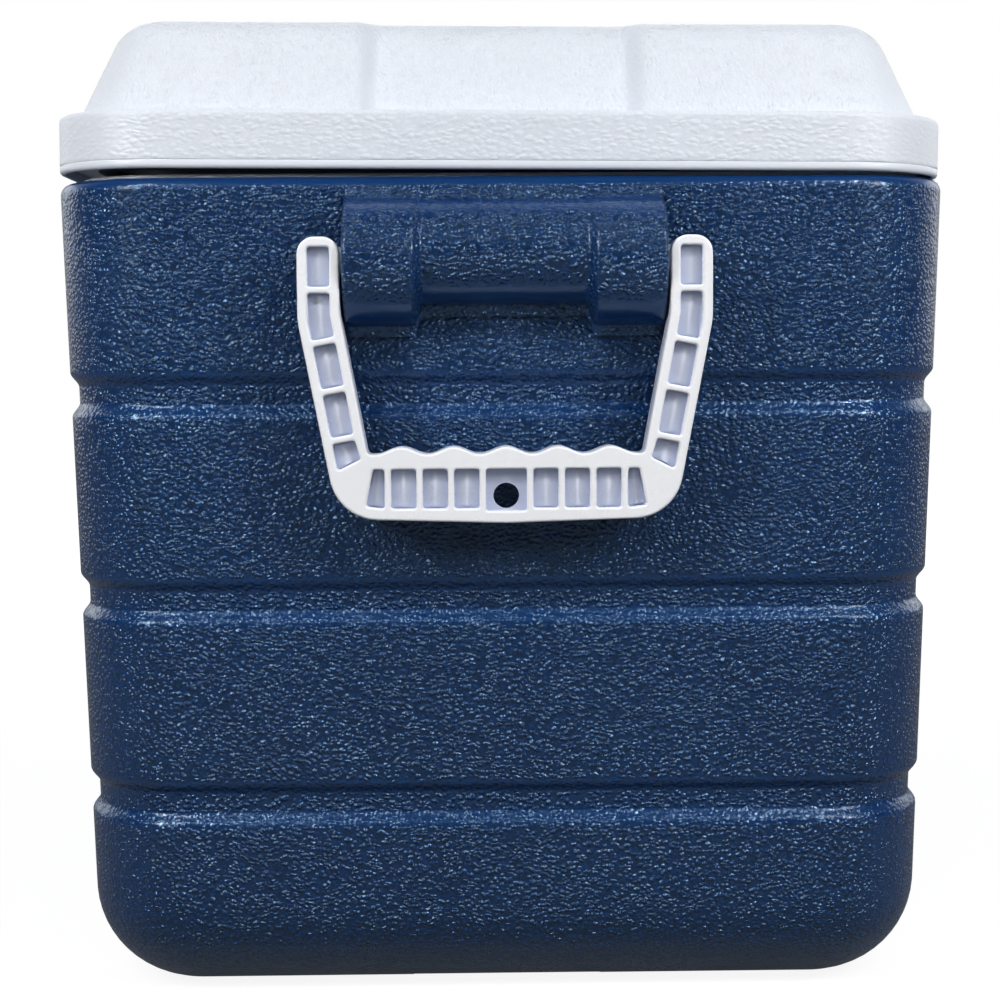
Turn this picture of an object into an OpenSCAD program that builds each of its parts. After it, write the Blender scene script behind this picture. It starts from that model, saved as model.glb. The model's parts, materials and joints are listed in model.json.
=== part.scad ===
// Wheeled picnic cooler: insulated chest with a hinged lid, two swing handles,
// two wheels on a steel axle and a push-in drain plug. Millimetres.
// The handle end that leads when the cooler is towed faces -Y, the wheels are at +Y,
// and the lid opens at -X and hinges at +X.

/* [Chest] */
// Width of the chest across its top edge
body_w = 380; // [350:1:460]
// Length of the chest from the towing end to the wheel end, at its top edge
body_l = 600; // [560:1:760]
// Height of the chest without the lid
body_h = 348; // [335:1:380]
// Slope of the outer walls, in degrees from upright
draft = 1.5; // [1:0.1:3]
// Radius of the upright corners
corner_r = 48; // [44:1:60]
// Radius between the walls and the underside
base_r = 42; // [30:1:43]
// Rounding of the top edge
top_r = 5; // [3:0.5:6]
// Thickness of the outer shell
shell_t = 3; // [2.5:0.1:4]
// Depth of the finger recess under the towing end
foot_recess_d = 3; // [2:0.5:5]
// Width of the finger recess under the towing end
foot_recess_w = 82; // [60:1:120]
// How far back the finger recess reaches
foot_recess_l = 100; // [70:1:130]

/* [Grooves round the chest] */
// Number of grooves
groove_count = 3; // [1:1:3]
// Height of the lowest groove's middle
groove_first = 85.5; // [80:0.5:92]
// Distance from one groove to the next
groove_pitch = 86.4; // [60:0.2:90]
// Depth of a groove
groove_d = 3.5; // [1:0.1:5]
// Height of a groove with its sloping sides
groove_w = 19.4; // [14:0.2:24]
// Height of a groove's flat floor
groove_floor = 6.5; // [3:0.5:10]

/* [Liner and insulation] */
// Thickness of the chest's insulated wall, from the top edge's outside to the tub
wall_total = 32; // [28:1:40]
// Thickness of the tub and of the lid's inner pan
liner_t = 2.5; // [2:0.1:3]
// Height of the tub's floor inside
floor_z = 33; // [28:1:40]
// Slope of the tub's walls, in degrees from upright
liner_draft = 1.5; // [0.5:0.1:2.5]
// Upright corner radius of the tub
liner_corner_r = 30; // [20:1:40]
// Radius between the tub's walls and floor
liner_floor_r = 10; // [8:1:11]
// Thickness of the tub's rim
rim_t = 1.9; // [1.5:0.1:3]
// Distance from the chest's edge to the tub's rim
rim_inset = 10; // [8:0.5:14]
// Foam between the wheel wells and the raised part of the tub's floor
hump_foam = 9; // [6:1:16]
// Rounding of the raised floor's top edge
hump_r = 14; // [6:1:20]

/* [Lid] */
// How far each side of the lid's brim stands inside the chest's width
lid_side_in = 0.75; // [0.3:0.05:2]
// How far each end of the lid's brim stands inside the chest's length
lid_end_in = 0; // [0:0.05:2]
// Gap between the closed lid's brim and the chest
lid_gap = 0.75; // [0.5:0.05:1.5]
// Angle by which the lid stands open on its springy gasket
lid_ajar = 0.5; // [0:0.05:1.5]
// How far the lid opens from closed
lid_open = 105; // [90:1:110]
// Height of the brim
brim_h = 24.2; // [20:0.2:32]
// Height of the crown above the brim
crown_h = 41.2; // [34:0.2:50]
// Distance from the brim's edge to the foot of the crown
crown_inset = 9; // [7:0.5:12]
// Slope of the crown's sides, in degrees from upright
crown_slope = 26; // [15:1:30]
// Radius of the crown's shoulders
crown_r = 20; // [14:1:22]
// How far the lid sits towards its opening side
lid_set = 0.75; // [0:0.05:1]
// Depth of the scallop in each end of the crown
scallop_d = 8; // [4:0.5:8]
// Width of the scallop's flat part
scallop_w = 100; // [70:1:130]
// Width of the scallop's sloping sides
scallop_side = 12; // [6:1:16]
// Depth of the seat panel in the lid's top
seat_d = 2; // [1:0.25:3]
// Thickness of the lid's shell
lid_t = 2.5; // [2:0.1:3.5]
// Depth to which the lid's plug reaches below its flange
plug_depth = 15; // [10:0.5:20]
// Gap round the lid's plug
plug_gap = 5; // [4:0.5:8]
// Thickness of the lid gasket
gasket_t = 2.5; // [2:0.25:4]
// Width of the lid gasket
gasket_w = 8; // [5:0.5:10]
// Length of the lip that lifts the lid
lip_l = 96; // [60:1:140]
// Height of the lip that lifts the lid
lip_h = 9; // [6:0.5:12]

/* [Lid hinges] */
// Distance of each hinge from the end of the chest
hinge_from_end = 115; // [100:1:180]
// Length of a hinge
hinge_l = 54; // [46:1:70]
// Radius of a hinge's knuckles, and its axis' distance from the wall
knuckle_r = 5; // [4.5:0.1:6]
// Diameter of the hinge pin
hinge_pin_d = 5; // [4:0.5:6]
// Thickness of the hinge plates
leaf_t = 3; // [2.5:0.1:3.5]
// Height of the hinge base below its axis
base_leaf_h = 34; // [30:1:40]
// Diameter of the hinge screws
hinge_screw_d = 3.5; // [3:0.5:4]
// Length of the hinge screws under their heads
hinge_screw_l = 14; // [10:1:18]

/* [Swing handles] */
// Drop of the handle pivots below the top edge
pivot_drop = 35.5; // [30:0.5:40]
// Distance of the handle pivots from the end wall
pivot_out = 14.5; // [13:0.5:18]
// Half the width of the bail outside its arms
bail_half_w = 83.6; // [78:0.2:95]
// Width of an arm
arm_w = 17; // [14:0.5:20]
// Distance from the pivot down to the grip's lower edge
bail_drop = 106; // [98:0.5:115]
// Height of the grip between its finger bumps
grip_h = 28; // [25:0.5:32]
// Distance from the pivot down to the bend in the arms
arm_bend = 24; // [16:1:34]
// Inward slope of the arms below the bend, in degrees
arm_slope = 10.6; // [6:0.2:14]
// Radius of the bail's lower corners
bail_r = 20; // [14:1:24]
// Thickness of the bail
bail_t = 16; // [12:0.5:18]
// Depth of the pockets between the bail's ribs, on each face
pocket_d = 5.5; // [2:0.5:5.5]
// Thickness of the rim round the pockets
pocket_rim = 4; // [3:0.25:5]
// Thickness of the ribs between pockets
rib_t = 2.6; // [2:0.2:4]
// Number of finger bumps on the grip
finger_count = 5; // [3:2:5]
// Distance between finger bumps
finger_pitch = 21.2; // [18:0.2:22]
// Height of the finger bumps
finger_wave = 3; // [1:0.25:4]
// Diameter of the hanging hole in the grip
hang_hole_d = 10.5; // [8:0.5:12]
// Diameter of the pivot stubs
stub_d = 12; // [10:0.5:14]
// Length of the pivot stubs
stub_l = 14; // [10:0.5:18]
// Radius of the boss at its ends
boss_r = 26.5; // [24:0.5:28]
// Radius of the boss between its ends
bar_r = 22; // [19:0.5:23]
// Length of each end of the boss
knuckle_l = 30; // [26:1:34]
// Bevel on the edge of each end of the boss
boss_edge = 1.8; // [1.5:0.1:4]
// Gap between the boss and each arm
arm_gap = 1; // [1:0.1:1.5]

/* [Wheels and axle] */
// Outside diameter of the wheels
wheel_d = 130; // [120:1:136]
// Width of a wheel
wheel_w = 36; // [30:1:40]
// Thickness of the tyre
tyre_t = 11; // [8:1:14]
// Diameter of the axle
axle_d = 12; // [10:1:14]
// Gap between a wheel and its well
well_gap = 8; // [6:0.5:9]
// Distance from a wheel's outer face to the chest's side at axle height
wheel_set_in = 4; // [3.5:0.5:8]
// Distance of each axle keeper from the middle
keeper_x = 82; // [60:1:100]
// Length of an axle keeper's foot along the axle
keeper_l = 42; // [36:1:50]
// Width of an axle keeper's foot across the axle
keeper_w = 34; // [32:1:36]

/* [Drain] */
// Distance of the drain from the middle, towards the towing end
drain_y = 170; // [120:1:190]
// Height of the drain's axis
drain_z = 50; // [46:0.5:52]
// Bore of the drain
drain_bore = 14; // [12:0.5:16]
// Diameter of the drain's flange
drain_flange_d = 38; // [34:1:40]
// Travel of the drain plug until it is out
plug_travel = 26; // [24:1:30]

/* [Clearances] */
// Radial clearance of pins and stubs that turn
turn_fit = 0.1; // [0.05:0.01:0.1]
// Clearance between fixed pieces that fit together
fixed_fit = 0.2; // [0.1:0.05:0.3]
// Clearance of the foam from its neighbours
foam_fit = 0.3; // [0.2:0.1:0.5]
// Clearance between pieces that move past each other
move_fit = 0.3; // [0.3:0.05:0.5]

/* [Hidden] */

$fn = 64;
eps = 0.01;
// segments in a quarter turn of a swept corner
arc_n = 8;

blue = [0.13, 0.24, 0.42];
white = [0.87, 0.89, 0.93];
foam_yellow = [0.93, 0.88, 0.70];
steel = [0.70, 0.71, 0.73];
black = [0.10, 0.10, 0.11];
grey = [0.45, 0.46, 0.48];

// clearance of a screw in its pilot hole
thread_fit = 0.05;
// depth of the bores that clear the hinge screws
screw_bore = 30;

half_w = body_w / 2;
half_l = body_l / 2;
hinge_y = half_l - hinge_from_end;
wheel_r = wheel_d / 2;
axle_r = axle_d / 2;
well_r = wheel_r + well_gap;
// the wheel end is rounded about the axle, so that the tilted cooler clears the ground
tail_r = wheel_r - 3;

// How far the draft has drawn a wall in at a height
function draft_in(z) = (body_h - z) * tan(draft);
// How far a quarter round of radius r has drawn in at a height above its lowest point
function round_in(h, r) = h >= r ? 0 : r - sqrt(max(0, r * r - (r - h) * (r - h)));
// A groove's share of its depth at a distance from its middle
function groove_share(d) = d <= groove_floor / 2 ? 1
    : d >= groove_w / 2 ? 0
    : (1 + cos(180 * (d - groove_floor / 2) / (groove_w / 2 - groove_floor / 2))) / 2;
function groove_z(i) = groove_first + i * groove_pitch;
function groove_in(z) = groove_d * max([for (i = [0:groove_count - 1])
    groove_share(abs(z - groove_z(i)))]);

axle_z = wheel_r;
axle_y = half_l - draft_in(axle_z) - tail_r;
wheel_out_x = half_w - draft_in(axle_z) - wheel_set_in;
wheel_in_x = wheel_out_x - wheel_w;
well_x = wheel_in_x - well_gap + 2;
washer_t = 1.5;

// Points along a quarter turn
function arc(cx, cy, r, a) = [for (i = [0:arc_n])
    [cx + r * cos(a + 90 * i / arc_n), cy + r * sin(a + 90 * i / arc_n)]];
// One level of a box with rounded corners
function box_level(hx, near, far, r, z) = [for (p = concat(
    arc(hx - r, far - r, r, 0), arc(r - hx, far - r, r, 90),
    arc(r - hx, near + r, r, 180), arc(hx - r, near + r, r, 270))) [p[0], p[1], z]];

// One level of the chest, o inside its outer face
function chest_level(z, o) = let (
    side = round_in(z - o, base_r - o),
    tail = round_in(z - o, tail_r - o),
    edge = round_in(body_h - z, top_r) * (o > 0 ? 0 : 1),
    both = draft_in(z) + groove_in(z) + edge + o)
    box_level(half_w - side - both, -(half_l - side - both), half_l - tail - both,
        max(6, corner_r - side - groove_in(z) - edge - o), z);

// A closed solid through levels that have equally many points
module stack(levels) {
    n = len(levels[0]);
    m = len(levels);
    sides = [for (j = [0:m - 2], i = [0:n - 1]) each [
        [j * n + i, (j + 1) * n + i, (j + 1) * n + (i + 1) % n],
        [j * n + i, (j + 1) * n + (i + 1) % n, j * n + (i + 1) % n]]];
    floor_face = [for (i = [0:n - 1]) i];
    roof_face = [for (i = [0:n - 1]) m * n - 1 - i];
    polyhedron([for (l = levels) each l], concat([floor_face], sides, [roof_face]));
}

// A rectangle with round corners, centred
module round_rect(w, l, r) {
    square([w - 2 * r, l], center = true);
    square([w, l - 2 * r], center = true);
    for (x = [-1, 1], y = [-1, 1]) translate([x * (w / 2 - r), y * (l / 2 - r)]) circle(r);
}

module along_x(x0, x1, r) {
    translate([x0, 0, 0]) rotate([0, 90, 0]) cylinder(r = r, h = x1 - x0);
}

module along_y(y0, y1, r) {
    translate([0, y0, 0]) rotate([-90, 0, 0]) cylinder(r = r, h = y1 - y0);
}

module both_sides() {
    children();
    mirror([1, 0, 0]) children();
}

// A screw with its seat at the origin and its point towards -Z
module screw(d, l) {
    cylinder(r = d, h = d * 0.55);
    translate([0, 0, -l]) cylinder(r = d / 2, h = l + eps);
}

module hinge_screw_bore(r) {
    translate([0, 0, -screw_bore]) cylinder(r = r, h = screw_bore);
}

// ---- chest ----

tail_levels = [for (a = [0:10:90]) tail_r * (1 - cos(a))];
groove_levels = [for (i = [0:groove_count - 1], s = [-1, 1], k = s < 0 ? [4:-1:0] : [0:4])
    groove_z(i) + s * (groove_floor + k / 4 * (groove_w - groove_floor)) / 2];
edge_levels = [for (a = [0:30:90]) body_h - top_r + top_r * sin(a)];
shell_z = concat(tail_levels, groove_levels, edge_levels);

module chest_solid() {
    stack([for (z = shell_z) chest_level(z, 0)]);
}

inner_tail = [for (a = [0:15:90]) shell_t + (tail_r - shell_t) * (1 - cos(a))];

module chest_cavity() {
    stack([for (z = concat(inner_tail, groove_levels, [body_h - shell_t])) chest_level(z, shell_t)]);
}

// The space of both wheels, grown by g
module wells(g) {
    both_sides() {
        translate([0, axle_y, axle_z]) along_x(well_x - g, half_w + 20, well_r + g);
        translate([well_x - g, axle_y - well_r - g, -20])
            cube([half_w + 20 - well_x + g, 2 * well_r + g + 20, axle_z + 20]);
    }
}

// The slot under the chest that takes the axle, grown by g
module axle_slot(g) {
    r = axle_r + fixed_fit + g;
    translate([0, axle_y, axle_z]) along_x(-well_x - 1, well_x + 1, r);
    translate([-well_x - 1, axle_y - r, -20]) cube([2 * well_x + 2, 2 * r, axle_z + 20]);
}

keeper_foot_t = 3.5;
// depth of the pockets that sink the keepers and their screw heads
keeper_pocket = keeper_foot_t + 2.5;
keeper_screw_d = 4;
keeper_screw_l = 16;
keeper_screw_y = keeper_w / 2 - 6;
keeper_post_r = 5;
keeper_post_h = keeper_pocket + keeper_screw_l + 1;

module keeper_pockets(g) {
    for (s = [-1, 1]) translate([s * keeper_x, axle_y, keeper_pocket / 2 - 10])
        cube([keeper_l + 2 * g, keeper_w + 2 * g, keeper_pocket + 20], center = true);
}

// Finger recess under the towing end, grown by g
module foot_recess(g) {
    translate([-foot_recess_w / 2 - g, -half_l, -20])
        cube([foot_recess_w + 2 * g, foot_recess_l + g, 20 + foot_recess_d + g]);
}

module keeper_screw_places() {
    for (s = [-1, 1], t = [-1, 1])
        translate([s * keeper_x, axle_y + t * keeper_screw_y, 0]) children();
}

// Half rounds that carry the handle's stubs, at one end
module boss() {
    end_x = bail_half_w - arm_w - arm_gap;
    bar_z = pivot_z + boss_r - bar_r - bar_step;
    bar_x = end_x - knuckle_l;
    difference() {
        union() {
            both_sides() translate([0, boss_y, pivot_z]) {
                along_x(bar_x, end_x - boss_edge, boss_r);
                translate([end_x - boss_edge, 0, 0]) rotate([0, 90, 0])
                    cylinder(r1 = boss_r, r2 = boss_r - boss_edge, h = boss_edge);
            }
            translate([0, boss_y, bar_z]) along_x(-bar_x - 1, bar_x + 1, bar_r);
        }
        translate([-half_w, shell_t / 2 + boss_y, 0]) cube([body_w, body_l, body_h]);
        // the bar is hollow
        translate([0, boss_y, bar_z]) along_x(shell_t - bar_x, bar_x - shell_t, bar_r - shell_t);
        both_sides() translate([0, pivot_y, pivot_z])
            along_x(end_x - stub_l - stub_end_gap, end_x + 5, stub_d / 2 + turn_fit);
    }
}

// step from the tops of the boss' ends down to the top of its bar
bar_step = 0.5;
stub_end_gap = 1;
pivot_z = body_h - pivot_drop;
boss_y = -(half_l - draft_in(pivot_z));
pivot_y = boss_y - pivot_out;

module both_ends() {
    children();
    mirror([0, 1, 0]) children();
}

module hinge_places() {
    for (s = [-1, 1]) translate([0, s * hinge_y, 0]) children();
}

hinge_x = half_w + knuckle_r;
hinge_z = body_h + lid_gap / 2;
// distance of the hinge screws from the base's lower edge and from its ends
screw_from_edge = 7;
screw_from_end = 8;
// upright pads that the hinge bases are screwed to
pad_in = draft_in(hinge_z - base_leaf_h) + top_r;
pad_edge = 2;
pad_low_z = hinge_z - base_leaf_h - 1;
pad_h = base_leaf_h - knuckle_r - pad_edge;

module hinge_pads() {
    hinge_places() translate([half_w - pad_in, -hinge_l / 2 - pad_edge, pad_low_z])
        cube([pad_in, hinge_l + 2 * pad_edge, pad_h]);
}

base_screw_z = hinge_z - base_leaf_h + screw_from_edge;
hinge_screw_y = hinge_l / 2 - screw_from_end;

module base_screw_places() {
    hinge_places() for (s = [-1, 1])
        translate([half_w + leaf_t, s * hinge_screw_y, base_screw_z]) rotate([0, 90, 0]) children();
}

// face of the flat pad under the drain's flange
drain_x = half_w - draft_in(drain_z) + 1;
drain_pad_t = 8;
drain_pad_r = drain_flange_d / 2 + 3;
pipe_t = 2.5;
drain_pipe_r = drain_bore / 2 + pipe_t;

module at_drain() {
    translate([0, -drain_y, drain_z]) children();
}

function liner_in(z) = (body_h - z) * tan(liner_draft);
// One level of the tub, o outside its inner face
function liner_level(z, o) = let (
    low = round_in(z - floor_z + o, liner_floor_r + o),
    both = wall_total + liner_t + liner_in(z) + low - o)
    box_level(half_w - both, both - half_l, half_l - both,
        max(4, liner_corner_r - liner_in(z) - low + o), z);
function liner_z(o) = concat(
    [for (a = [0:18:90]) floor_z - o + (liner_floor_r + o) * (1 - cos(a))], [body_h + 20]);

hump_z = axle_z + well_r + shell_t + hump_foam + liner_t;
hump_y = axle_y - well_r - shell_t - hump_foam - liner_t;

// The raised part of the tub's floor, o inside its inner face
module hump(o) {
    r = hump_r - o;
    translate([-half_w, hump_y + o, 0]) cube([body_w, half_l, hump_z - hump_r]);
    translate([-half_w, hump_y + hump_r, 0]) cube([body_w, half_l, hump_z - o]);
    translate([0, hump_y + hump_r, hump_z - hump_r]) along_x(-half_w, half_w, r);
}

// The tub as a solid, o outside its inner face
module tub(o) {
    difference() {
        stack([for (z = liner_z(o)) liner_level(z, o)]);
        hump(o);
    }
}

rim_z = body_h + rim_t;
opening_x = half_w - wall_total - liner_t;
opening_y = half_l - wall_total - liner_t;

module outer_shell() {
    color(blue) difference() {
        union() {
            difference() {
                union() {
                    chest_solid();
                    hinge_pads();
                    at_drain() along_x(drain_x - drain_pad_t, drain_x, drain_pad_r);
                }
                difference() {
                    chest_cavity();
                    wells(shell_t);
                    axle_slot(shell_t);
                    keeper_pockets(shell_t);
                    keeper_screw_places() cylinder(r = keeper_post_r, h = keeper_post_h);
                    foot_recess(shell_t);
                }
                // mouth for the tub
                translate([0, 0, body_h - 20]) linear_extrude(40)
                    round_rect(2 * (opening_x + liner_t + fixed_fit),
                        2 * (opening_y + liner_t + fixed_fit), liner_corner_r + liner_t);
            }
            both_ends() boss();
        }
        wells(0);
        axle_slot(0);
        keeper_pockets(0);
        keeper_screw_places()
            cylinder(r = keeper_screw_d / 2 + thread_fit, h = keeper_pocket + keeper_screw_l);
        foot_recess(0);
        base_screw_places() hinge_screw_bore(hinge_screw_d / 2 + thread_fit);
        at_drain() along_x(drain_x - 20, drain_x + 5, drain_pipe_r + fixed_fit);
    }
}

foam_o = shell_t + groove_d + foam_fit;

module body_foam() {
    top = body_h - shell_t - foam_fit;
    levels = concat([for (a = [0:18:90]) foam_o + (tail_r - foam_o) * (1 - cos(a))], [top]);
    color(foam_yellow) difference() {
        stack([for (z = levels) let (
                side = round_in(z - foam_o, base_r - foam_o),
                tail = round_in(z - foam_o, tail_r - foam_o),
                both = draft_in(z) + foam_o)
            box_level(half_w - side - both, side + both - half_l, half_l - tail - both,
                max(6, corner_r - side - foam_o), z)]);
        tub(liner_t + foam_fit);
        wells(shell_t + foam_fit);
        axle_slot(shell_t + foam_fit);
        keeper_pockets(shell_t + foam_fit);
        keeper_screw_places() cylinder(r = keeper_post_r + foam_fit, h = keeper_post_h + foam_fit);
        base_screw_places() hinge_screw_bore(hinge_screw_d);
        hinge_places() translate([half_w - pad_in - foam_fit, -hinge_l / 2 - pad_edge - 1, pad_low_z - 1])
            cube([wall_total, hinge_l + 2 * pad_edge + 2, base_leaf_h]);
        at_drain() {
            along_x(half_w / 2, half_w, drain_pipe_r + 1);
            along_x(drain_x - drain_pad_t - 1, half_w, drain_pad_r + foam_fit);
            along_x(nut_x, tub_x + liner_t + foam_fit, nut_seat_r + foam_fit);
        }
    }
}

tub_x = opening_x - liner_in(drain_z);
nut_r = 11.5;
nut_t = 6;
nut_seat_t = 1.5;
nut_seat_r = nut_r + 1;
nut_x = tub_x - nut_seat_t;

module inner_liner() {
    color(white) difference() {
        union() {
            difference() {
                union() {
                    difference() {
                        tub(liner_t);
                        translate([-half_w, -half_l, body_h]) cube([body_w, body_l, 60]);
                    }
                    translate([0, 0, body_h]) linear_extrude(rim_t)
                        round_rect(body_w - 2 * rim_inset, body_l - 2 * rim_inset,
                            corner_r - rim_inset);
                }
                tub(0);
            }
            // flat seat for the drain nut
            at_drain() along_x(nut_x, tub_x + liner_t, nut_seat_r);
        }
        at_drain() along_x(0, half_w, drain_pipe_r + fixed_fit);
    }
}

// ---- drain ----

flange_t = 3;
washer_drain_t = 1.5;

module drain_spout() {
    r = drain_pipe_r;
    color(white) at_drain() difference() {
        union() {
            along_x(drain_x + washer_drain_t, drain_x + washer_drain_t + flange_t, drain_flange_d / 2);
            along_x(nut_x - nut_t - 2, drain_x + washer_drain_t + 1, r);
        }
        along_x(nut_x - 20, half_w + 20, drain_bore / 2);
    }
}

module drain_washer() {
    color(black) at_drain() difference() {
        along_x(drain_x, drain_x + washer_drain_t, drain_flange_d / 2 - 1);
        along_x(drain_x - 5, drain_x + 5, drain_pipe_r + fixed_fit);
    }
}

module drain_nut() {
    color(white) at_drain() difference() {
        translate([nut_x - nut_t, 0, 0]) rotate([0, 90, 0]) cylinder(r = nut_r, h = nut_t, $fn = 12);
        along_x(nut_x - 20, nut_x + 20, drain_pipe_r + fixed_fit / 2);
    }
}

drain_face_x = drain_x + washer_drain_t + flange_t;
plug_l = 20;
knob_r = drain_flange_d / 2 - 4;
knob_t = 6;
knob_wall = 2;
seal_d = 2;
seal_x = drain_face_x - 9;

module drain_plug() {
    r = drain_bore / 2 - turn_fit;
    color(white) at_drain() difference() {
        union() {
            along_x(drain_face_x - plug_l, drain_face_x + 1, r);
            along_x(drain_face_x + move_fit, drain_face_x + knob_t, knob_r);
        }
        // groove for the seal
        translate([seal_x, 0, 0]) rotate([0, 90, 0]) rotate_extrude()
            translate([r - seal_d, -seal_d / 2]) square([seal_d + 1, seal_d]);
        // finger hollow round the knob's middle bar
        difference() {
            along_x(drain_face_x + knob_t / 2, drain_face_x + 2 * knob_t, knob_r - knob_wall);
            translate([drain_face_x, -knob_wall, -knob_r]) cube([2 * knob_t, 2 * knob_wall, 2 * knob_r]);
        }
    }
}

module drain_plug_seal() {
    color(black) at_drain() translate([seal_x, 0, 0]) rotate([0, 90, 0]) rotate_extrude()
        translate([drain_bore / 2 - turn_fit - seal_d / 2, 0]) circle(seal_d / 2, $fn = 24);
}

// ---- lid hinges ----

mid_knuckle = hinge_l / 4;
knuckle_gap = 0.4;
lug_half_t = 1.5;
lug_angle = 60;

module turned_in_xz() {
    rotate([90, 0, 0]) children();
}

// Base of one hinge: a plate with two outer knuckles and a stop for the lid
module hinge_base() {
    stop_a = lug_angle - lid_open;
    along = [cos(stop_a), sin(stop_a)];
    away = [sin(stop_a), -cos(stop_a)] * (lug_half_t + move_fit);
    plate_x = leaf_t - knuckle_r;
    stop_r = knuckle_r + 2 * knuckle_gap;
    stop_face = 1.8;
    color(white) difference() {
        translate([hinge_x, 0, hinge_z]) union() {
            difference() {
                translate([-knuckle_r, -hinge_l / 2, -base_leaf_h]) cube([leaf_t, hinge_l, base_leaf_h]);
                along_y(-mid_knuckle, mid_knuckle, knuckle_r + knuckle_gap);
            }
            for (y = [-hinge_l / 2, mid_knuckle]) along_y(y, y + hinge_l / 4, knuckle_r);
            // lid stop
            translate([0, mid_knuckle - 2, 0]) turned_in_xz() linear_extrude(2 * mid_knuckle - 4)
                polygon([away + along * stop_r, away + along * (stop_r + stop_face),
                    [knuckle_r - 1, -3 * knuckle_r], [plate_x - 0.5, -3.6 * knuckle_r],
                    [plate_x - 0.5, -stop_r]]);
        }
        translate([hinge_x, 0, hinge_z]) along_y(-hinge_l, hinge_l, hinge_pin_d / 2 + thread_fit);
        for (s = [-1, 1]) translate([half_w - 5, s * hinge_screw_y, base_screw_z])
            rotate([0, 90, 0]) cylinder(r = hinge_screw_d / 2 + fixed_fit, h = 20);
    }
}

module hinge_base_near() { translate([0, -hinge_y, 0]) hinge_base(); }
module hinge_base_far() { translate([0, hinge_y, 0]) hinge_base(); }

module hinge_base_screws() {
    color(steel) base_screw_places() screw(hinge_screw_d, hinge_screw_l);
}

module hinge_pin() {
    color(steel) translate([hinge_x, 0, hinge_z]) {
        along_y(-hinge_l / 2 - 1, hinge_l / 2 + 1, hinge_pin_d / 2);
        // head
        along_y(-hinge_l / 2 - 2.5, -hinge_l / 2 - fixed_fit, hinge_pin_d / 2 + 1.2);
    }
}

module hinge_pin_near() { translate([0, -hinge_y, 0]) hinge_pin(); }
module hinge_pin_far() { translate([0, hinge_y, 0]) hinge_pin(); }

// ---- lid, drawn closed and then opened to where its gasket holds it ----

lid_z = body_h + lid_gap;
pan_z = rim_z + move_fit + gasket_t;
lid_half_w = half_w - lid_side_in;
lid_half_l = half_l - lid_end_in;

module lid_pose() {
    translate([hinge_x, 0, hinge_z]) rotate([0, lid_ajar, 0]) translate([-hinge_x, 0, -hinge_z]) children();
}

// The lid's own pieces, which sit a little towards the opening side
module lid_part() {
    lid_pose() translate([-lid_set, 0, 0]) children();
}

leaf_x = lid_half_w - lid_set;
leaf_low_z = hinge_z + knuckle_r + knuckle_gap;
leaf_top_z = lid_z + brim_h - 3;
leaf_screw_z = (leaf_low_z + leaf_top_z) / 2 + 1;

module hinge_leaf() {
    color(white) difference() {
        union() {
            translate([leaf_x, -hinge_l / 2, leaf_low_z]) cube([leaf_t, hinge_l, leaf_top_z - leaf_low_z]);
            translate([leaf_x, move_fit - mid_knuckle, hinge_z])
                cube([leaf_t, 2 * (mid_knuckle - move_fit), leaf_top_z - hinge_z]);
            translate([hinge_x, 0, hinge_z]) {
                along_y(move_fit - mid_knuckle, mid_knuckle - move_fit, knuckle_r);
                // heel that meets the base's stop
                translate([0, mid_knuckle - 4, 0]) turned_in_xz() linear_extrude(2 * mid_knuckle - 8)
                    rotate(lug_angle) translate([0, -lug_half_t]) square([1.5 * knuckle_r, 2 * lug_half_t]);
            }
        }
        translate([hinge_x, 0, hinge_z]) along_y(-hinge_l, hinge_l, hinge_pin_d / 2 + turn_fit);
        for (s = [-1, 1]) translate([leaf_x - 5, s * hinge_screw_y, leaf_screw_z])
            rotate([0, 90, 0]) cylinder(r = hinge_screw_d / 2 + fixed_fit, h = 20);
    }
}

module hinge_leaf_near() { lid_pose() translate([0, -hinge_y, 0]) hinge_leaf(); }
module hinge_leaf_far() { lid_pose() translate([0, hinge_y, 0]) hinge_leaf(); }

module leaf_screw_places() {
    hinge_places() for (s = [-1, 1])
        translate([leaf_x + leaf_t, s * hinge_screw_y, leaf_screw_z]) rotate([0, 90, 0]) children();
}

module hinge_leaf_screws() {
    color(steel) lid_pose() leaf_screw_places() screw(hinge_screw_d, hinge_screw_l);
}

// Places along an end where the scallop's outline has its points
scallop_x = [for (s = [-1, 1], i = s < 0 ? [4:-1:0] : [0:4])
    s * (scallop_w / 2 + i / 4 * scallop_side)];
function scallop_in(x) = let (past = abs(x) - scallop_w / 2)
    past <= 0 ? 1 : (1 + cos(180 * min(1, past / scallop_side))) / 2;
// One level of the lid, with its ends drawn in by bite over the scallops
function lid_level(inset, z, bite) = let (
    hx = lid_half_w - inset,
    hy = lid_half_l - inset,
    r = max(4, corner_r - inset))
    [for (p = concat(
        arc(hx - r, hy - r, r, 0),
        [for (i = [9:-1:0]) [scallop_x[i], hy - bite * scallop_in(scallop_x[i])]],
        arc(r - hx, hy - r, r, 90),
        arc(r - hx, r - hy, r, 180),
        [for (i = [0:9]) [scallop_x[i], bite * scallop_in(scallop_x[i]) - hy]],
        arc(hx - r, r - hy, r, 270))) [p[0], p[1], z]];

brim_z = lid_z + brim_h;
crown_z = brim_z + crown_h;
shoulder = 90 - crown_slope;
crown_rise = crown_h - crown_r * (1 - cos(shoulder));
crown_centre = crown_inset + crown_rise * tan(crown_slope) + crown_r * sin(shoulder);
// How far the crown's slope, o inside its face, is drawn in at a height above the brim
function slope_in(h, o) = crown_inset + h * tan(crown_slope) + o / cos(crown_slope);
function shoulder_level(a, o) = lid_level(crown_centre - (crown_r - o) * sin(a),
    crown_z - crown_r + (crown_r - o) * cos(a), scallop_d);

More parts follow.
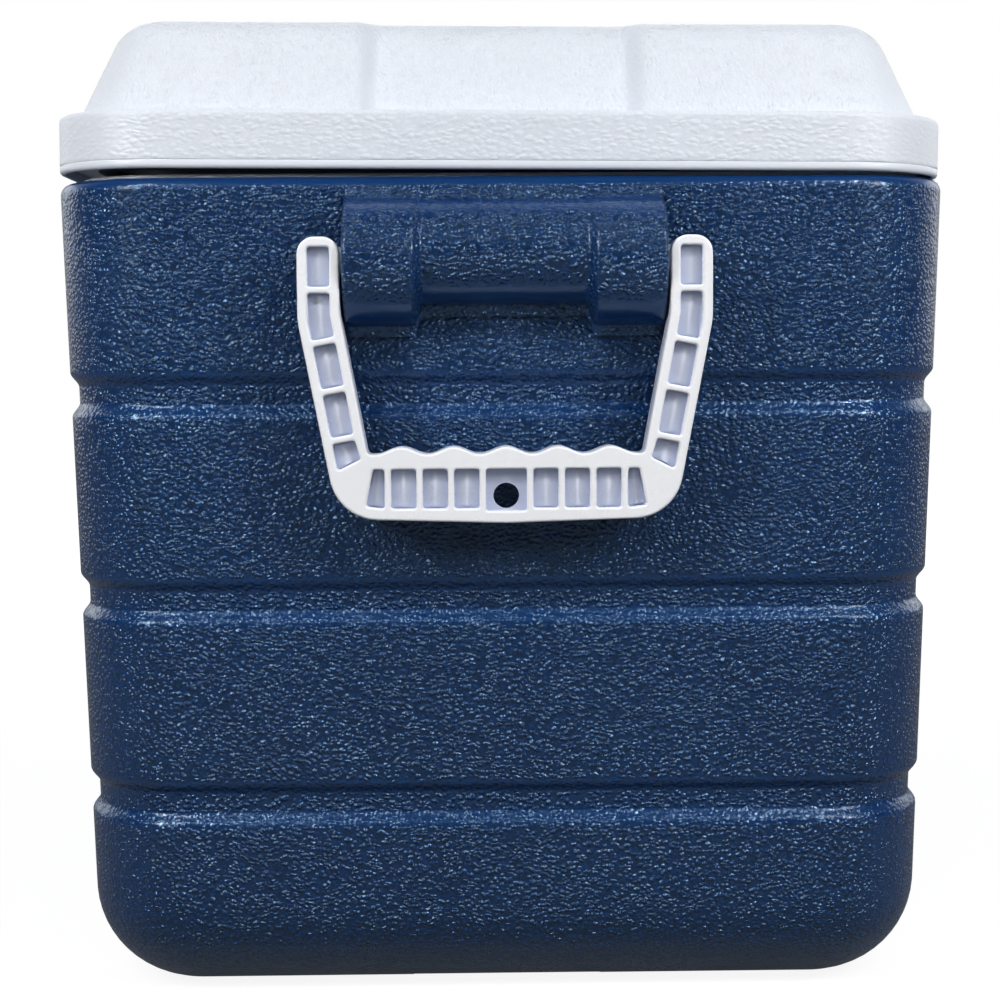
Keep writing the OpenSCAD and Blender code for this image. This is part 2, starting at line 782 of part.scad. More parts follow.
module lid_outside() {
    stack(concat(
        [lid_level(1.2, lid_z, 0), lid_level(0.3, lid_z + 0.8, 0), lid_level(0, lid_z + 2, 0)],
        [lid_level(0, brim_z - 2.5, 0), lid_level(0.8, brim_z - 0.7, 0), lid_level(2.5, brim_z, 0)],
        [lid_level(crown_inset - 1, brim_z, 0), lid_level(slope_in(0.5, 0), brim_z + 0.5, scallop_d)],
        [for (i = [0:5]) shoulder_level(shoulder * (1 - i / 5), 0)],
        [lid_level(crown_centre + scallop_d + 2, crown_z, 0),
            lid_level(crown_centre + scallop_d + 6, crown_z - seat_d, 0)]));
}

// the lid's roof is a little thinner towards its middle
roof_rise = 0.3;

module lid_inside() {
    last = acos((crown_r - lid_t - seat_d) / (crown_r - lid_t));
    stack(concat(
        [lid_level(lid_t, lid_z - 1, 0), lid_level(lid_t, brim_z - lid_t, 0)],
        [lid_level(slope_in(-lid_t, lid_t), brim_z - lid_t, scallop_d)],
        [for (i = [0:4]) shoulder_level(shoulder + (last - shoulder) * i / 4, lid_t)],
        [lid_level(crown_centre + scallop_d + 2, crown_z - seat_d - lid_t + roof_rise, 0)]));
}

// the lip reaches as far out as the hinges on the other side
lip_out = hinge_x + knuckle_r - lid_half_w - lid_set;
lip_end = 8;

module lid_shell() {
    color(white) difference() {
        lid_part() difference() {
            union() {
                lid_outside();
                translate([-lid_half_w, 0, lid_z]) linear_extrude(lip_h)
                    round_rect(2 * lip_out, lip_l, lip_out - 1);
            }
            lid_inside();
            // finger hollow under the lip
            translate([-lid_half_w - lip_out / 2 + 1, 0, lid_z - 2])
                along_y(lip_end - lip_l / 2, lip_l / 2 - lip_end, lip_out / 2 - 1);
        }
        lid_pose() leaf_screw_places() hinge_screw_bore(hinge_screw_d / 2 + thread_fit);
    }
}

plug_x = opening_x - plug_gap;
plug_y = opening_y - plug_gap;
plug_r = liner_corner_r - plug_gap;
pan_in = lid_t + fixed_fit;

module lid_pan() {
    color(white) lid_part() difference() {
        union() {
            stack([for (z = [pan_z, pan_z + liner_t]) box_level(lid_half_w - pan_in,
                pan_in - lid_half_l, lid_half_l - pan_in, corner_r - pan_in, z)]);
            translate([0, 0, pan_z - plug_depth]) linear_extrude(plug_depth + 1)
                round_rect(2 * plug_x, 2 * plug_y, plug_r);
        }
        translate([0, 0, pan_z - plug_depth + liner_t]) linear_extrude(plug_depth + 10)
            round_rect(2 * (plug_x - liner_t), 2 * (plug_y - liner_t), plug_r - liner_t);
    }
}

module lid_foam() {
    f = foam_fit;
    plug = lid_half_w - plug_x + liner_t + f;
    plug_len = plug_y - liner_t - f;
    low = pan_z + liner_t + f;
    high = crown_z - seat_d - lid_t - f;
    wide = slope_in(-lid_t, lid_t) + f;
    top = slope_in(high - brim_z, lid_t) + crown_r / 2;
    color(foam_yellow) difference() {
        lid_part() stack([
            box_level(lid_half_w - plug, -plug_len, plug_len, plug_r - liner_t, low - plug_depth),
            box_level(lid_half_w - plug, -plug_len, plug_len, plug_r - liner_t, low),
            foam_level(lid_t + f, lid_t + f, low),
            foam_level(lid_t + f, lid_t + f, brim_z - lid_t - f),
            foam_level(wide, wide + scallop_d, brim_z - lid_t - f),
            foam_level(slope_in(crown_rise, lid_t) + f, slope_in(crown_rise, lid_t) + f + scallop_d,
                brim_z + crown_rise - crown_r / 4),
            foam_level(top, top + scallop_d, high)]);
        lid_pose() leaf_screw_places() hinge_screw_bore(hinge_screw_d);
    }
}

function foam_level(side, end, z) = box_level(lid_half_w - side, end - lid_half_l, lid_half_l - end,
    max(6, corner_r - end), z);

module lid_gasket() {
    outer = rim_inset + (wall_total - rim_inset - gasket_w) / 2;
    color(grey) lid_part() translate([0, 0, pan_z - gasket_t]) linear_extrude(gasket_t) difference() {
        round_rect(body_w - 2 * outer, body_l - 2 * outer, corner_r - outer);
        round_rect(body_w - 2 * (outer + gasket_w), body_l - 2 * (outer + gasket_w),
            corner_r - outer - gasket_w);
    }
}

// ---- swing handles ----

function unit(v) = v / norm(v);
// An arc of radius r in place of corner b between a and c
function corner_points(a, b, c, r) = r == 0 ? [b] : let (
    u = unit(a - b),
    v = unit(c - b),
    half = acos(u * v) / 2,
    centre = b + unit(u + v) * r / sin(half),
    from = b + u * r / tan(half) - centre,
    to = b + v * r / tan(half) - centre,
    a0 = atan2(from[1], from[0]),
    sweep = (atan2(to[1], to[0]) - a0 + 540) % 360 - 180)
    [for (i = [0:6]) centre + r * [cos(a0 + sweep * i / 6), sin(a0 + sweep * i / 6)]];
// Corners are [x, z, radius]
function rounded(c) = let (n = len(c)) [for (i = [0:n - 1]) each corner_points(
    [c[(i + n - 1) % n][0], c[(i + n - 1) % n][1]], [c[i][0], c[i][1]],
    [c[(i + 1) % n][0], c[(i + 1) % n][1]], c[i][2])];

arm_top = arm_w / 2 + 1.2;
// height over which an arm's inner edge bends later than its outer edge
bend_lag = 2.5;
grip_top = grip_h - bail_drop;
// Outer and inner edge of an arm at a height below the pivot
function arm_out(z) = bail_half_w - max(0, -arm_bend - z) * tan(arm_slope);
function arm_in(z) = bail_half_w - arm_w - max(0, bend_lag - arm_bend - z) * tan(arm_slope);

wave_half = finger_count * finger_pitch / 2;
bail_bow = 2;

module bail_outline() {
    side = [[arm_out(-bail_drop), bail_bow - bail_drop, bail_r],
        [bail_half_w, -arm_bend, 30],
        [bail_half_w, arm_top, 7],
        [bail_half_w - arm_w, arm_top, 7],
        [bail_half_w - arm_w, bend_lag - arm_bend, 20],
        [arm_in(grip_top), grip_top, 2]];
    wave = [for (x = [wave_half:-finger_pitch / 8:-wave_half])
        [x, grip_top + finger_wave * (1 + cos(360 * x / finger_pitch)) / 2, 0]];
    other = [for (i = [5:-1:0]) [-side[i][0], side[i][1], side[i][2]]];
    polygon(rounded(concat([[0, -bail_drop, 0]], side, wave, other)));
}

// first ribs and their spacing, in the grip from its middle and in the arms from the pivot
rib_first = 9.6;
rib_pitch = 12.8;
arm_rib_first = 11.6;
arm_rib_pitch = 20.3;
// lower end of the arms' pockets, above the solid corners
corner_z = 21.5 - bail_drop;
hang_hole_z = 10.8 - bail_drop;

module arm_pockets() {
    difference() {
        polygon([[arm_out(0) - pocket_rim, arm_top - pocket_rim],
            [arm_in(0) + pocket_rim, arm_top - pocket_rim],
            [arm_in(0) + pocket_rim, bend_lag - arm_bend],
            [arm_in(corner_z) + pocket_rim, corner_z],
            [arm_out(corner_z) - pocket_rim, corner_z],
            [arm_out(0) - pocket_rim, -arm_bend]]);
        for (i = [0:3]) translate([bail_half_w - arm_w * 0.75, -arm_rib_first - i * arm_rib_pitch])
            rotate(i > 0 ? -arm_slope : 0) square([3 * arm_w, rib_t], center = true);
    }
}

module grip_pockets() {
    top = grip_top - pocket_rim - 2;
    low = pocket_rim + bail_bow - bail_drop;
    difference() {
        polygon([[1 - arm_in(low), low], [arm_in(low) - 1, low],
            [arm_in(top) - 1, top], [1 - arm_in(top), top]]);
        for (s = [-1, 1], i = [0:3]) translate([s * (rib_first + i * rib_pitch), -bail_drop + grip_h / 2])
            square([rib_t, grip_h], center = true);
    }
}

module handle() {
    color(white) translate([0, pivot_y, pivot_z]) difference() {
        union() {
            translate([0, bail_t / 2, 0]) turned_in_xz() linear_extrude(bail_t) bail_outline();
            both_sides() along_x(arm_in(0) - arm_gap - stub_l, arm_in(0) + 1, stub_d / 2);
        }
        for (face = [pocket_d - bail_t / 2, 3 * bail_t / 2]) translate([0, face, 0]) turned_in_xz()
            linear_extrude(pocket_d + bail_t) {
                both_sides_2d() arm_pockets();
                grip_pockets();
            }
        translate([0, 0, hang_hole_z]) along_y(-bail_t, bail_t, hang_hole_d / 2);
    }
}

module both_sides_2d() {
    children();
    mirror([1, 0]) children();
}

module handle_near() { handle(); }
module handle_far() { mirror([0, 1, 0]) handle(); }

// ---- wheels and axle ----

module at_axle() {
    translate([0, axle_y, axle_z]) children();
}

hub_in_x = well_x + washer_t + move_fit;
hub_out_x = wheel_out_x - 8;
rim_r = wheel_r - tyre_t;
rim_wall = 5;
hub_r = axle_r + 8;
axle_end_x = wheel_out_x - 3;
wheel_mid_x = (wheel_in_x + wheel_out_x) / 2;

module axle() {
    color(steel) at_axle() along_x(-axle_end_x, axle_end_x, axle_r);
}

module wheel_rim() {
    color(white) at_axle() difference() {
        union() {
            along_x(hub_in_x, hub_out_x, hub_r);
            along_x(wheel_mid_x - rim_wall / 2, wheel_mid_x + rim_wall / 2, rim_r - 1);
            difference() {
                along_x(wheel_in_x + 1.5, wheel_out_x - 1.5, rim_r);
                along_x(wheel_in_x, wheel_out_x, rim_r - rim_wall);
            }
            // ribs from the hub to the rim
            for (a = [0:60:300]) rotate([a, 0, 0]) translate([wheel_in_x + rim_wall, -1.5, hub_r - 2])
                cube([wheel_w - 2 * rim_wall, 3, rim_r - hub_r]);
        }
        along_x(0, half_w + 10, axle_r + turn_fit);
    }
}

module wheel_tyre() {
    shoulder_r = 5;
    color(black) at_axle() translate([wheel_mid_x, 0, 0]) rotate([0, 90, 0]) rotate_extrude() difference() {
        union() {
            translate([rim_r, -wheel_w / 2]) square([tyre_t - shoulder_r, wheel_w]);
            translate([rim_r, shoulder_r - wheel_w / 2]) square([tyre_t, wheel_w - 2 * shoulder_r]);
            for (s = [-1, 1]) translate([wheel_r - shoulder_r, s * (wheel_w / 2 - shoulder_r)])
                circle(shoulder_r);
        }
        for (s = [-1, 0, 1]) translate([wheel_r, s * 8]) square([4, 2], center = true);
    }
}

module axle_washer() {
    color(steel) at_axle() difference() {
        along_x(well_x, well_x + washer_t, hub_r);
        along_x(0, half_w, axle_r + fixed_fit / 2);
    }
}

module push_cap() {
    color(steel) at_axle() difference() {
        union() {
            along_x(hub_out_x + move_fit, hub_out_x + move_fit + 1, axle_r + 5);
            along_x(hub_out_x + move_fit, wheel_out_x - 2, axle_r + 1.5);
        }
        along_x(0, axle_end_x + eps, axle_r + fixed_fit / 4);
    }
}

module axle_keeper(s) {
    foot_z = keeper_pocket - keeper_foot_t;
    color(black) difference() {
        union() {
            translate([s * keeper_x, axle_y, foot_z + keeper_foot_t / 2])
                cube([keeper_l - 2 * fixed_fit, keeper_w - 2 * fixed_fit, keeper_foot_t], center = true);
            translate([s * keeper_x - keeper_l / 4, axle_y - axle_r, foot_z])
                cube([keeper_l / 2, axle_d, axle_z - foot_z - axle_r / 3]);
        }
        at_axle() along_x(-half_w, half_w, axle_r + fixed_fit / 4);
        keeper_screw_places() cylinder(r = keeper_screw_d / 2 + fixed_fit, h = 40);
    }
}

module axle_keeper_left() { axle_keeper(-1); }
module axle_keeper_right() { axle_keeper(1); }

module axle_keeper_screws() {
    color(steel) keeper_screw_places() translate([0, 0, keeper_pocket - keeper_foot_t])
        rotate([180, 0, 0]) screw(keeper_screw_d, keeper_screw_l);
}

module wheel_rim_left() { mirror([1, 0, 0]) wheel_rim(); }
module wheel_rim_right() { wheel_rim(); }
module wheel_tyre_left() { mirror([1, 0, 0]) wheel_tyre(); }
module wheel_tyre_right() { wheel_tyre(); }
module axle_washer_left() { mirror([1, 0, 0]) axle_washer(); }
module axle_washer_right() { axle_washer(); }
module push_cap_left() { mirror([1, 0, 0]) push_cap(); }
module push_cap_right() { push_cap(); }

outer_shell();
body_foam();
inner_liner();
drain_spout();
drain_washer();
drain_nut();
drain_plug();
drain_plug_seal();
hinge_base_near();
hinge_base_far();
hinge_base_screws();
hinge_pin_near();
hinge_pin_far();
hinge_leaf_near();
hinge_leaf_far();
hinge_leaf_screws();
lid_shell();
lid_foam();
lid_pan();
lid_gasket();
handle_near();
handle_far();
axle();
axle_keeper_left();
axle_keeper_right();
axle_keeper_screws();
axle_washer_left();
axle_washer_right();
wheel_rim_left();
wheel_rim_right();
wheel_tyre_left();
wheel_tyre_right();
push_cap_left();
push_cap_right();
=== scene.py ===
import json
import math
import bmesh
import bpy
import numpy as np
from mathutils import Matrix, Vector


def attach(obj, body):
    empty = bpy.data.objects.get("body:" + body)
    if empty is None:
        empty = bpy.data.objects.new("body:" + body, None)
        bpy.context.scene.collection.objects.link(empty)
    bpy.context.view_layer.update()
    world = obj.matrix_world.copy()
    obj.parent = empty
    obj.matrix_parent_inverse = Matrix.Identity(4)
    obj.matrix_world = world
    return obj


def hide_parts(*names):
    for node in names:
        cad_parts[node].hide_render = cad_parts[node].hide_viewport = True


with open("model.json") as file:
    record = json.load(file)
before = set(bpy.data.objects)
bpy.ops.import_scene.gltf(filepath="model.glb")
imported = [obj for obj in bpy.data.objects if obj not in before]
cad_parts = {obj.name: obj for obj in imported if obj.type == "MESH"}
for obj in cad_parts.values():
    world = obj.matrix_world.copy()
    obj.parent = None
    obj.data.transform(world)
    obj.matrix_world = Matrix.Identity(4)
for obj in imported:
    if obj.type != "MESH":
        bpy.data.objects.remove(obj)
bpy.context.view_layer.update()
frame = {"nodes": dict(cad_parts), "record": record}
mm = 0.001
print("frame loaded:", len(frame["nodes"]), "nodes")

# everything below is in millimetres and is scaled when a mesh is made
chest = {
    "width": 380, "length": 600, "height": 348,
    "draft": 1.5,                # degrees from upright
    "cornerRound": 48, "baseRound": 42, "tailRound": 62, "topRound": 5,
    "grooves": (85.5, 171.9, 258.3), "grooveDepth": 3.5, "grooveWidth": 19.4, "grooveFloor": 6.5,
    "mouthX": 158.2, "mouthY": 268.2, "mouthRound": 32.5, "mouthDeep": 48,
    "cutEdge": 1.6,
}
boss = {
    "endX": 65.6, "endRadius": 26.4, "barX": 35.6, "barRadius": 22, "barRise": 4,
    "step": 5,                   # width of the slope between an end and the bar
    "edge": 1.8, "fillet": 2.2,
    "rows": 84, "lowZ": 271, "highZ": 342.5,
    "flank": 76,                 # the wall is plain from here to the corners
}
pivot = {"y": 313.57, "z": 312.5}
hinge = {"x": 195, "z": 348.375, "y": 185, "length": 54, "padLow": 313.4, "padHigh": 342.5}
axlePlace = {"y": 230.59, "z": 65, "slotHalf": 6.2, "slotEnd": 137.5}


def sinD(degrees):
    return math.sin(math.radians(degrees))


def cosD(degrees):
    return math.cos(math.radians(degrees))


def rounding(r, start=0, step=15):
    # what is left to each of the two faces at steps round a quarter of radius r
    return [(r * (1 - cosD(a)), r * (1 - sinD(a))) for a in range(start, 91, step)]


def inScene(name, data):
    thing = bpy.data.objects.new(name, data)
    bpy.context.scene.collection.objects.link(thing)
    return thing


def newMesh(name, points, faces, body, slot, replaced=(), angle=35):
    mesh = bpy.data.meshes.new(name)
    mesh.from_pydata((np.asarray(points, float) * mm).tolist(), [], faces)
    mesh.update()
    return settle(inScene(name, mesh), body, replaced, angle)


def outwardNormals(mesh):
    shape = bmesh.new()
    shape.from_mesh(mesh)
    bmesh.ops.recalc_face_normals(shape, faces=shape.faces)
    shape.to_mesh(mesh)
    shape.free()


def settle(piece, body, replaced=(), angle=35):
    outwardNormals(piece.data)
    piece.data.shade_smooth()
    piece.data.set_sharp_from_angle(angle=math.radians(angle))
    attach(piece, body)
    if replaced:
        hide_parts(*replaced)
    return piece


def joinedParts(parts):
    points, faces = [], []
    for partPoints, partFaces in parts:
        start = len(points)
        points += [list(p) for p in partPoints]
        faces += [[i + start for i in f] for f in partFaces]
    return points, faces


def rows(levels, closed=True, capFirst=False, capLast=False):
    # quads between successive levels that have equally many points
    count = len(levels[0])
    points = [list(p) for level in levels for p in level]
    faces = []
    for j in range(len(levels) - 1):
        for i in range(count if closed else count - 1):
            k = (i + 1) % count
            faces.append((j * count + i, j * count + k, (j + 1) * count + k, (j + 1) * count + i))
    if capFirst:
        faces.append(tuple(range(count - 1, -1, -1)))
    if capLast:
        faces.append(tuple(range((len(levels) - 1) * count, len(levels) * count)))
    return points, faces


def turned(profile, count=96):
    # turned about X; profile holds (place, radius), and a radius of 0 closes an end
    angles = [360.0 * i / count for i in range(count)]
    return rows([[(place, radius * cosD(a), radius * sinD(a)) for a in angles]
                 for place, radius in profile])


def moved(part, by):
    points, faces = part
    return [[p[0] + by[0], p[1] + by[1], p[2] + by[2]] for p in points], faces


def mirrored(part):
    points, faces = part
    return [(-x, y, z) for x, y, z in points], [tuple(reversed(f)) for f in faces]


def arcPoints(cx, cy, r, start, count):
    angles = np.radians(start + 90 * np.arange(count + 1) / count)
    return [(cx + r * math.cos(a), cy + r * math.sin(a)) for a in angles]


def draftIn(z):
    return (chest["height"] - z) * math.tan(math.radians(chest["draft"]))


def roundIn(h, r):
    return 0.0 if h >= r else r - math.sqrt(max(0.0, r * r - (r - h) ** 2))


def grooveShare(d):
    flat, wide = chest["grooveFloor"] / 2, chest["grooveWidth"] / 2
    if d <= flat:
        return 1.0
    return 0.0 if d >= wide else (1 + math.cos(math.pi * (d - flat) / (wide - flat))) / 2


def grooveIn(z):
    return chest["grooveDepth"] * max(grooveShare(abs(z - g)) for g in chest["grooves"])


def spread(low, high, step):
    count = max(1, round((high - low) / step))
    return [low + (high - low) * i / count for i in range(count + 1)]


def wallY(z):
    return -(chest["length"] / 2 - draftIn(z))


# columns across one half of an end wall: place, radius and rise of the boss there
def bossColumns():
    b = boss
    slopeStart, slopeEnd = b["barX"] - b["step"] / 2, b["barX"] + b["step"] / 2
    columns = [(x, b["barRadius"], b["barRise"]) for x in spread(0, slopeStart, 4)]
    for x in spread(slopeStart, slopeEnd, 0.6)[1:]:
        t = (1 - math.cos(math.pi * (x - b["barX"] + b["step"] / 2) / b["step"])) / 2
        radius = b["barRadius"] + t * (b["endRadius"] - b["barRadius"])
        columns.append((x, radius, b["barRise"] * (1 - t)))
    roundStart = b["endX"] - b["edge"]
    columns += [(x, b["endRadius"], 0) for x in spread(slopeEnd, roundStart, 3.5)[1:]]
    columns += [(roundStart + b["edge"] * sinD(a), b["endRadius"] - b["edge"] * (1 - cosD(a)), 0)
                for a in range(15, 91, 15)]
    foot = b["endRadius"] - b["edge"]
    columns += [(b["endX"] + 0.04 * k, foot * (1 - k / 8), 0) for k in range(1, 8)]
    plain = (b["endX"] + 0.36, b["endX"] + 1.2, b["flank"] - 6, b["flank"])
    return columns + [(x, 0, 0) for x in plain]


# outline of the boss out of the wall at one column, from below it to above it
def bossProfile(radius, rise):
    low, high, f = boss["lowZ"], boss["highZ"], boss["fillet"]
    if radius < 0.5:
        return [(low, 0.0), (high, 0.0)]
    f = min(f, radius / 3)
    centre = pivot["z"] + rise
    reach = math.sqrt(radius * radius + 2 * radius * f)
    bend = math.asin(f / (radius + f))
    half = []
    for k in range(7):
        a = math.pi / 2 + (math.pi / 2 - bend) * k / 6
        half.append((f * math.cos(a) - reach, f - f * math.sin(a)))
    for k in range(1, 25):
        a = bend + (math.pi / 2 - bend) * k / 24
        half.append((-radius * math.cos(a), radius * math.sin(a)))
    outline = [(low, 0.0)] + [(centre + u, d) for u, d in half]
    outline += [(centre - u, d) for u, d in reversed(half[:-1])] + [(high, 0.0)]
    return outline


def alongOutline(outline, shares):
    points = np.array(outline)
    lengths = np.concatenate([[0], np.cumsum(np.hypot(*np.diff(points, axis=0).T))])
    at = np.array(shares) * lengths[-1]
    return np.interp(at, lengths, points[:, 0]), np.interp(at, lengths, points[:, 1])


halfColumns = bossColumns()
endColumns = [(-x, r, c) for x, r, c in reversed(halfColumns[1:])] + halfColumns
bossShares = np.linspace(0, 1, boss["rows"])
bossRows = {}
for columnX, columnR, columnRise in halfColumns:
    bossRows[round(columnX, 4)] = alongOutline(bossProfile(columnR, columnRise), bossShares)
# columns just inside and just outside each end of the flat pads under the hinges
padEdges = [s * hinge["y"] + t * (hinge["length"] / 2 + e)
            for s in (-1, 1) for t in (-1, 1) for e in (2, 3)]
sideColumns = sorted(spread(-232, 215, 13) + padEdges)


# one level ring: right-far corner, far end, left-far corner, left side, near end, right side
def chestRing(hx, near, far, r, z, row=None, pad=False):
    ring = [(x, y, z) for x, y in arcPoints(hx - r, far - r, r, 0, 20)]
    flat = hx - r
    beyond = [flat - (flat - boss["flank"]) * t for t in (0.33, 0.66)]
    ends = [(-x, 0, 0) for x in beyond] + endColumns + [(x, 0, 0) for x in reversed(beyond)]

    def endPoint(column, y, side):
        x = column[0]
        if row is None or abs(x) > boss["endX"] + 0.3:
            return (x, y, z)
        zs, ds = bossRows[round(abs(x), 4)]
        return (x, side * (-wallY(zs[row]) + ds[row]), zs[row])

    ring += [endPoint(c, far, 1) for c in reversed(ends)]
    ring += [(x, y, z) for x, y in arcPoints(r - hx, far - r, r, 90, 20)]
    sides = [y for y in sideColumns if near + r + 2 < y < far - r - 2]
    while len(sides) < len(sideColumns):
        sides.append((sides[-1] + far - r) / 2)
    ring += [(-hx, y, z) for y in reversed(sides)]
    ring += [(x, y, z) for x, y in arcPoints(r - hx, near + r, r, 180, 20)]
    ring += [endPoint(c, near, -1) for c in ends]
    ring += [(x, y, z) for x, y in arcPoints(hx - r, near + r, r, 270, 20)]
    reach = hinge["length"] / 2 + 2.4
    padX = chest["width"] / 2
    ring += [(padX if pad and abs(abs(y) - hinge["y"]) < reach else hx, y, z) for y in sides]
    return ring


def chestLevel(z, row=None):
    c = chest
    side, tail = roundIn(z, c["baseRound"]), roundIn(z, c["tailRound"])
    edge = roundIn(c["height"] - z, c["topRound"])
    both = draftIn(z) + grooveIn(z) + edge
    r = max(6, c["cornerRound"] - side - grooveIn(z) - edge)
    pad = hinge["padLow"] <= z <= hinge["padHigh"]
    return chestRing(c["width"] / 2 - side - both, side + both - c["length"] / 2,
                     c["length"] / 2 - tail - both, r, z, row, pad)


def chestSkin():
    c = chest
    plain = [up for up, side in rounding(c["tailRound"], 0, 5)]
    grooves, wide = c["grooves"], c["grooveWidth"] / 2
    steps = spread(c["grooveFloor"] / 2, wide, 0.65)
    for g in grooves:
        plain += [g - d for d in reversed(steps)] + [g + d for d in steps]
    plain += spread(c["tailRound"], grooves[0] - wide, 5)[1:-1]
    for lower, upper in zip(grooves, grooves[1:]):
        plain += spread(lower + wide, upper - wide, 8)[1:-1]
    levels = [chestLevel(z) for z in sorted(plain)]
    step = (boss["highZ"] - boss["lowZ"]) / (boss["rows"] - 1)
    levels += [chestLevel(boss["lowZ"] + k * step, k) for k in range(boss["rows"])]
    levels += [chestLevel(c["height"] - down) for side, down in rounding(c["topRound"], 0, 10)]
    for share in (0.35, 0.75):
        hx = c["width"] / 2 - 5 - share * 20
        hy = c["length"] / 2 - 5 - share * 20
        levels.append(chestRing(hx, -hy, hy, 43 - share * 8, c["height"]))
    x, y = c["mouthX"], c["mouthY"]
    levels += [chestRing(x, -y, y, c["mouthRound"], c["height"] - drop)
               for drop in (0, 3, c["mouthDeep"])]
    return rows(levels, capFirst=True, capLast=True)


# cutters under the chest; each is an outline in (y, z) drawn out along x
def archOutline(radius, low=-30):
    y, z = axlePlace["y"], axlePlace["z"]
    top = [(y + radius * cosD(a), z + radius * sinD(a)) for a in np.linspace(0, 180, 73)]
    return [(y + radius, low)] + top + [(y - radius, low)]


def drawnOut(levels):
    # levels: place along x and its outline
    rings = [[(x, y, z) for y, z in outline] for x, outline in levels]
    return rows(rings, capFirst=True, capLast=True)


wells = {"x": 136.6, "radius": 73, "inner": 5, "beyond": 215}
keeperPocket = {"x": 82, "halfX": 21, "halfY": 17, "depth": 6}
fingerRecess = ((-41, -320, -20), (41, -200, 3))     # under the towing end


def wellCutter():
    w = wells
    levels = [(w["x"] + out, archOutline(w["radius"] - inset))
              for out, inset in rounding(w["inner"])]
    return drawnOut(levels + [(w["beyond"], archOutline(w["radius"]))])


def blockCutter(low, high):
    (x0, y0, z0), (x1, y1, z1) = low, high
    return drawnOut([(x, [(y0, z0), (y1, z0), (y1, z1), (y0, z1)]) for x in (x0, x1)])


def cutFrom(part, cutters):
    def plain(name, part):
        mesh = bpy.data.meshes.new(name)
        mesh.from_pydata([tuple(c * mm for c in p) for p in part[0]], [], part[1])
        outwardNormals(mesh)
        return inScene(name, mesh)

    whole = plain("whole", part)
    tools = [plain(f"tool{i}", cutter) for i, cutter in enumerate(cutters)]
    for tool in tools:
        cut = whole.modifiers.new("cut", "BOOLEAN")
        cut.operation = "DIFFERENCE"
        cut.solver = "EXACT"
        cut.object = tool
    bpy.context.view_layer.update()
    evaluated = whole.evaluated_get(bpy.context.evaluated_depsgraph_get())
    result = bpy.data.meshes.new_from_object(evaluated)
    for thing in tools + [whole]:
        bpy.data.objects.remove(thing)
    return result


def softenCuts(mesh, width, isCut):
    # rounds the sharp outer edges that the cutters left
    shape = bmesh.new()
    shape.from_mesh(mesh)
    bmesh.ops.remove_doubles(shape, verts=shape.verts, dist=0.25 * mm)
    edges = [e for e in shape.edges if len(e.link_faces) == 2
             and e.calc_face_angle_signed(0) > math.radians(40)
             and isCut((e.verts[0].co + e.verts[1].co) / (2 * mm))]
    bmesh.ops.bevel(shape, geom=edges, offset=width * mm, segments=3, profile=0.5,
                    affect="EDGES", clamp_overlap=True)
    shape.to_mesh(mesh)
    shape.free()


def makeChest():
    y, z, half, end = (axlePlace[k] for k in ("y", "z", "slotHalf", "slotEnd"))
    slot = [(y - half, -30), (y - half, z)]
    slot += [(y - half * cosD(a), z + half * sinD(a)) for a in range(15, 166, 15)]
    slot += [(y + half, z), (y + half, -30)]
    k = keeperPocket
    cutters = [wellCutter(), mirrored(wellCutter()), drawnOut([(-end, slot), (end, slot)]),
               blockCutter(*fingerRecess)]
    for x in (-k["x"], k["x"]):
        cutters.append(blockCutter((x - k["halfX"], y - k["halfY"], -20),
                                   (x + k["halfX"], y + k["halfY"], k["depth"])))
    mesh = cutFrom(chestSkin(), cutters)
    shape = bmesh.new()
    shape.from_mesh(mesh)
    # the plug that closed the mouth for cutting goes again
    low = (chest["height"] - chest["mouthDeep"] - 0.5) * mm
    x, y = (chest["mouthX"] + 0.8) * mm, (chest["mouthY"] + 0.8) * mm
    inner = [f for f in shape.faces if all(low < v.co.z < low + mm for v in f.verts)
             and all(abs(v.co.x) < x and abs(v.co.y) < y for v in f.verts)]
    bmesh.ops.delete(shape, geom=inner, context="FACES_ONLY")
    shape.to_mesh(mesh)
    shape.free()
    softenCuts(mesh, chest["cutEdge"],
               lambda p: p.z < 150 and (abs(p.x) > 135 and p.y > 120 or p.z < 8))
    return settle(inScene("chestShell", mesh), "chest", ("outer_shell",), 38)


chestShell = makeChest()
print("chest shell:", len(chestShell.data.polygons), "faces")


# the drain's flat pad stands a little proud of the wall
drain = {"x": 183.2, "y": -170, "z": 50, "padRadius": 22, "padEdge": 1.2, "bore": 9.7}


def makeDrainPad():
    d = drain
    profile = [(d["x"] - 8, d["padRadius"] + 1.5), (d["x"] - 2.2, d["padRadius"] + 0.6)]
    profile += [(d["x"] - back, d["padRadius"] - inset) for inset, back in rounding(d["padEdge"])]
    profile += [(d["x"], d["bore"]), (d["x"] - 6, d["bore"])]
    pad = moved(turned(profile), (0, d["y"], d["z"]))
    return newMesh("drainPad", *pad, "chest", "blue_shell", angle=40)


drainPad = makeDrainPad()

lid = {
    "width": 378.5, "length": 600, "lowZ": 348.75, "brim": 24.2, "crown": 41.2,
    "inset": 9, "slope": 26, "shoulder": 20, "set": 0.75, "ajar": 0.5,
    "biteDepth": 8, "biteWidth": 100, "biteSide": 12, "seat": 2, "wall": 2.5,
    "cornerRound": 48,
    "lowEdge": 1.7, "brimEdge": 2.2,
    "foot": 1.3,                 # hollow at the foot of the crown
}


def lidPose(points):
    a = math.radians(lid["ajar"])
    posed = []
    for x, y, z in points:
        u, w = x - lid["set"] - hinge["x"], z - hinge["z"]
        posed.append((hinge["x"] + u * math.cos(a) + w * math.sin(a), y,
                      hinge["z"] - u * math.sin(a) + w * math.cos(a)))
    return posed


def biteShare(x):
    past = abs(x) - lid["biteWidth"] / 2
    return 1.0 if past <= 0 else (1 + math.cos(math.pi * min(1, past / lid["biteSide"]))) / 2


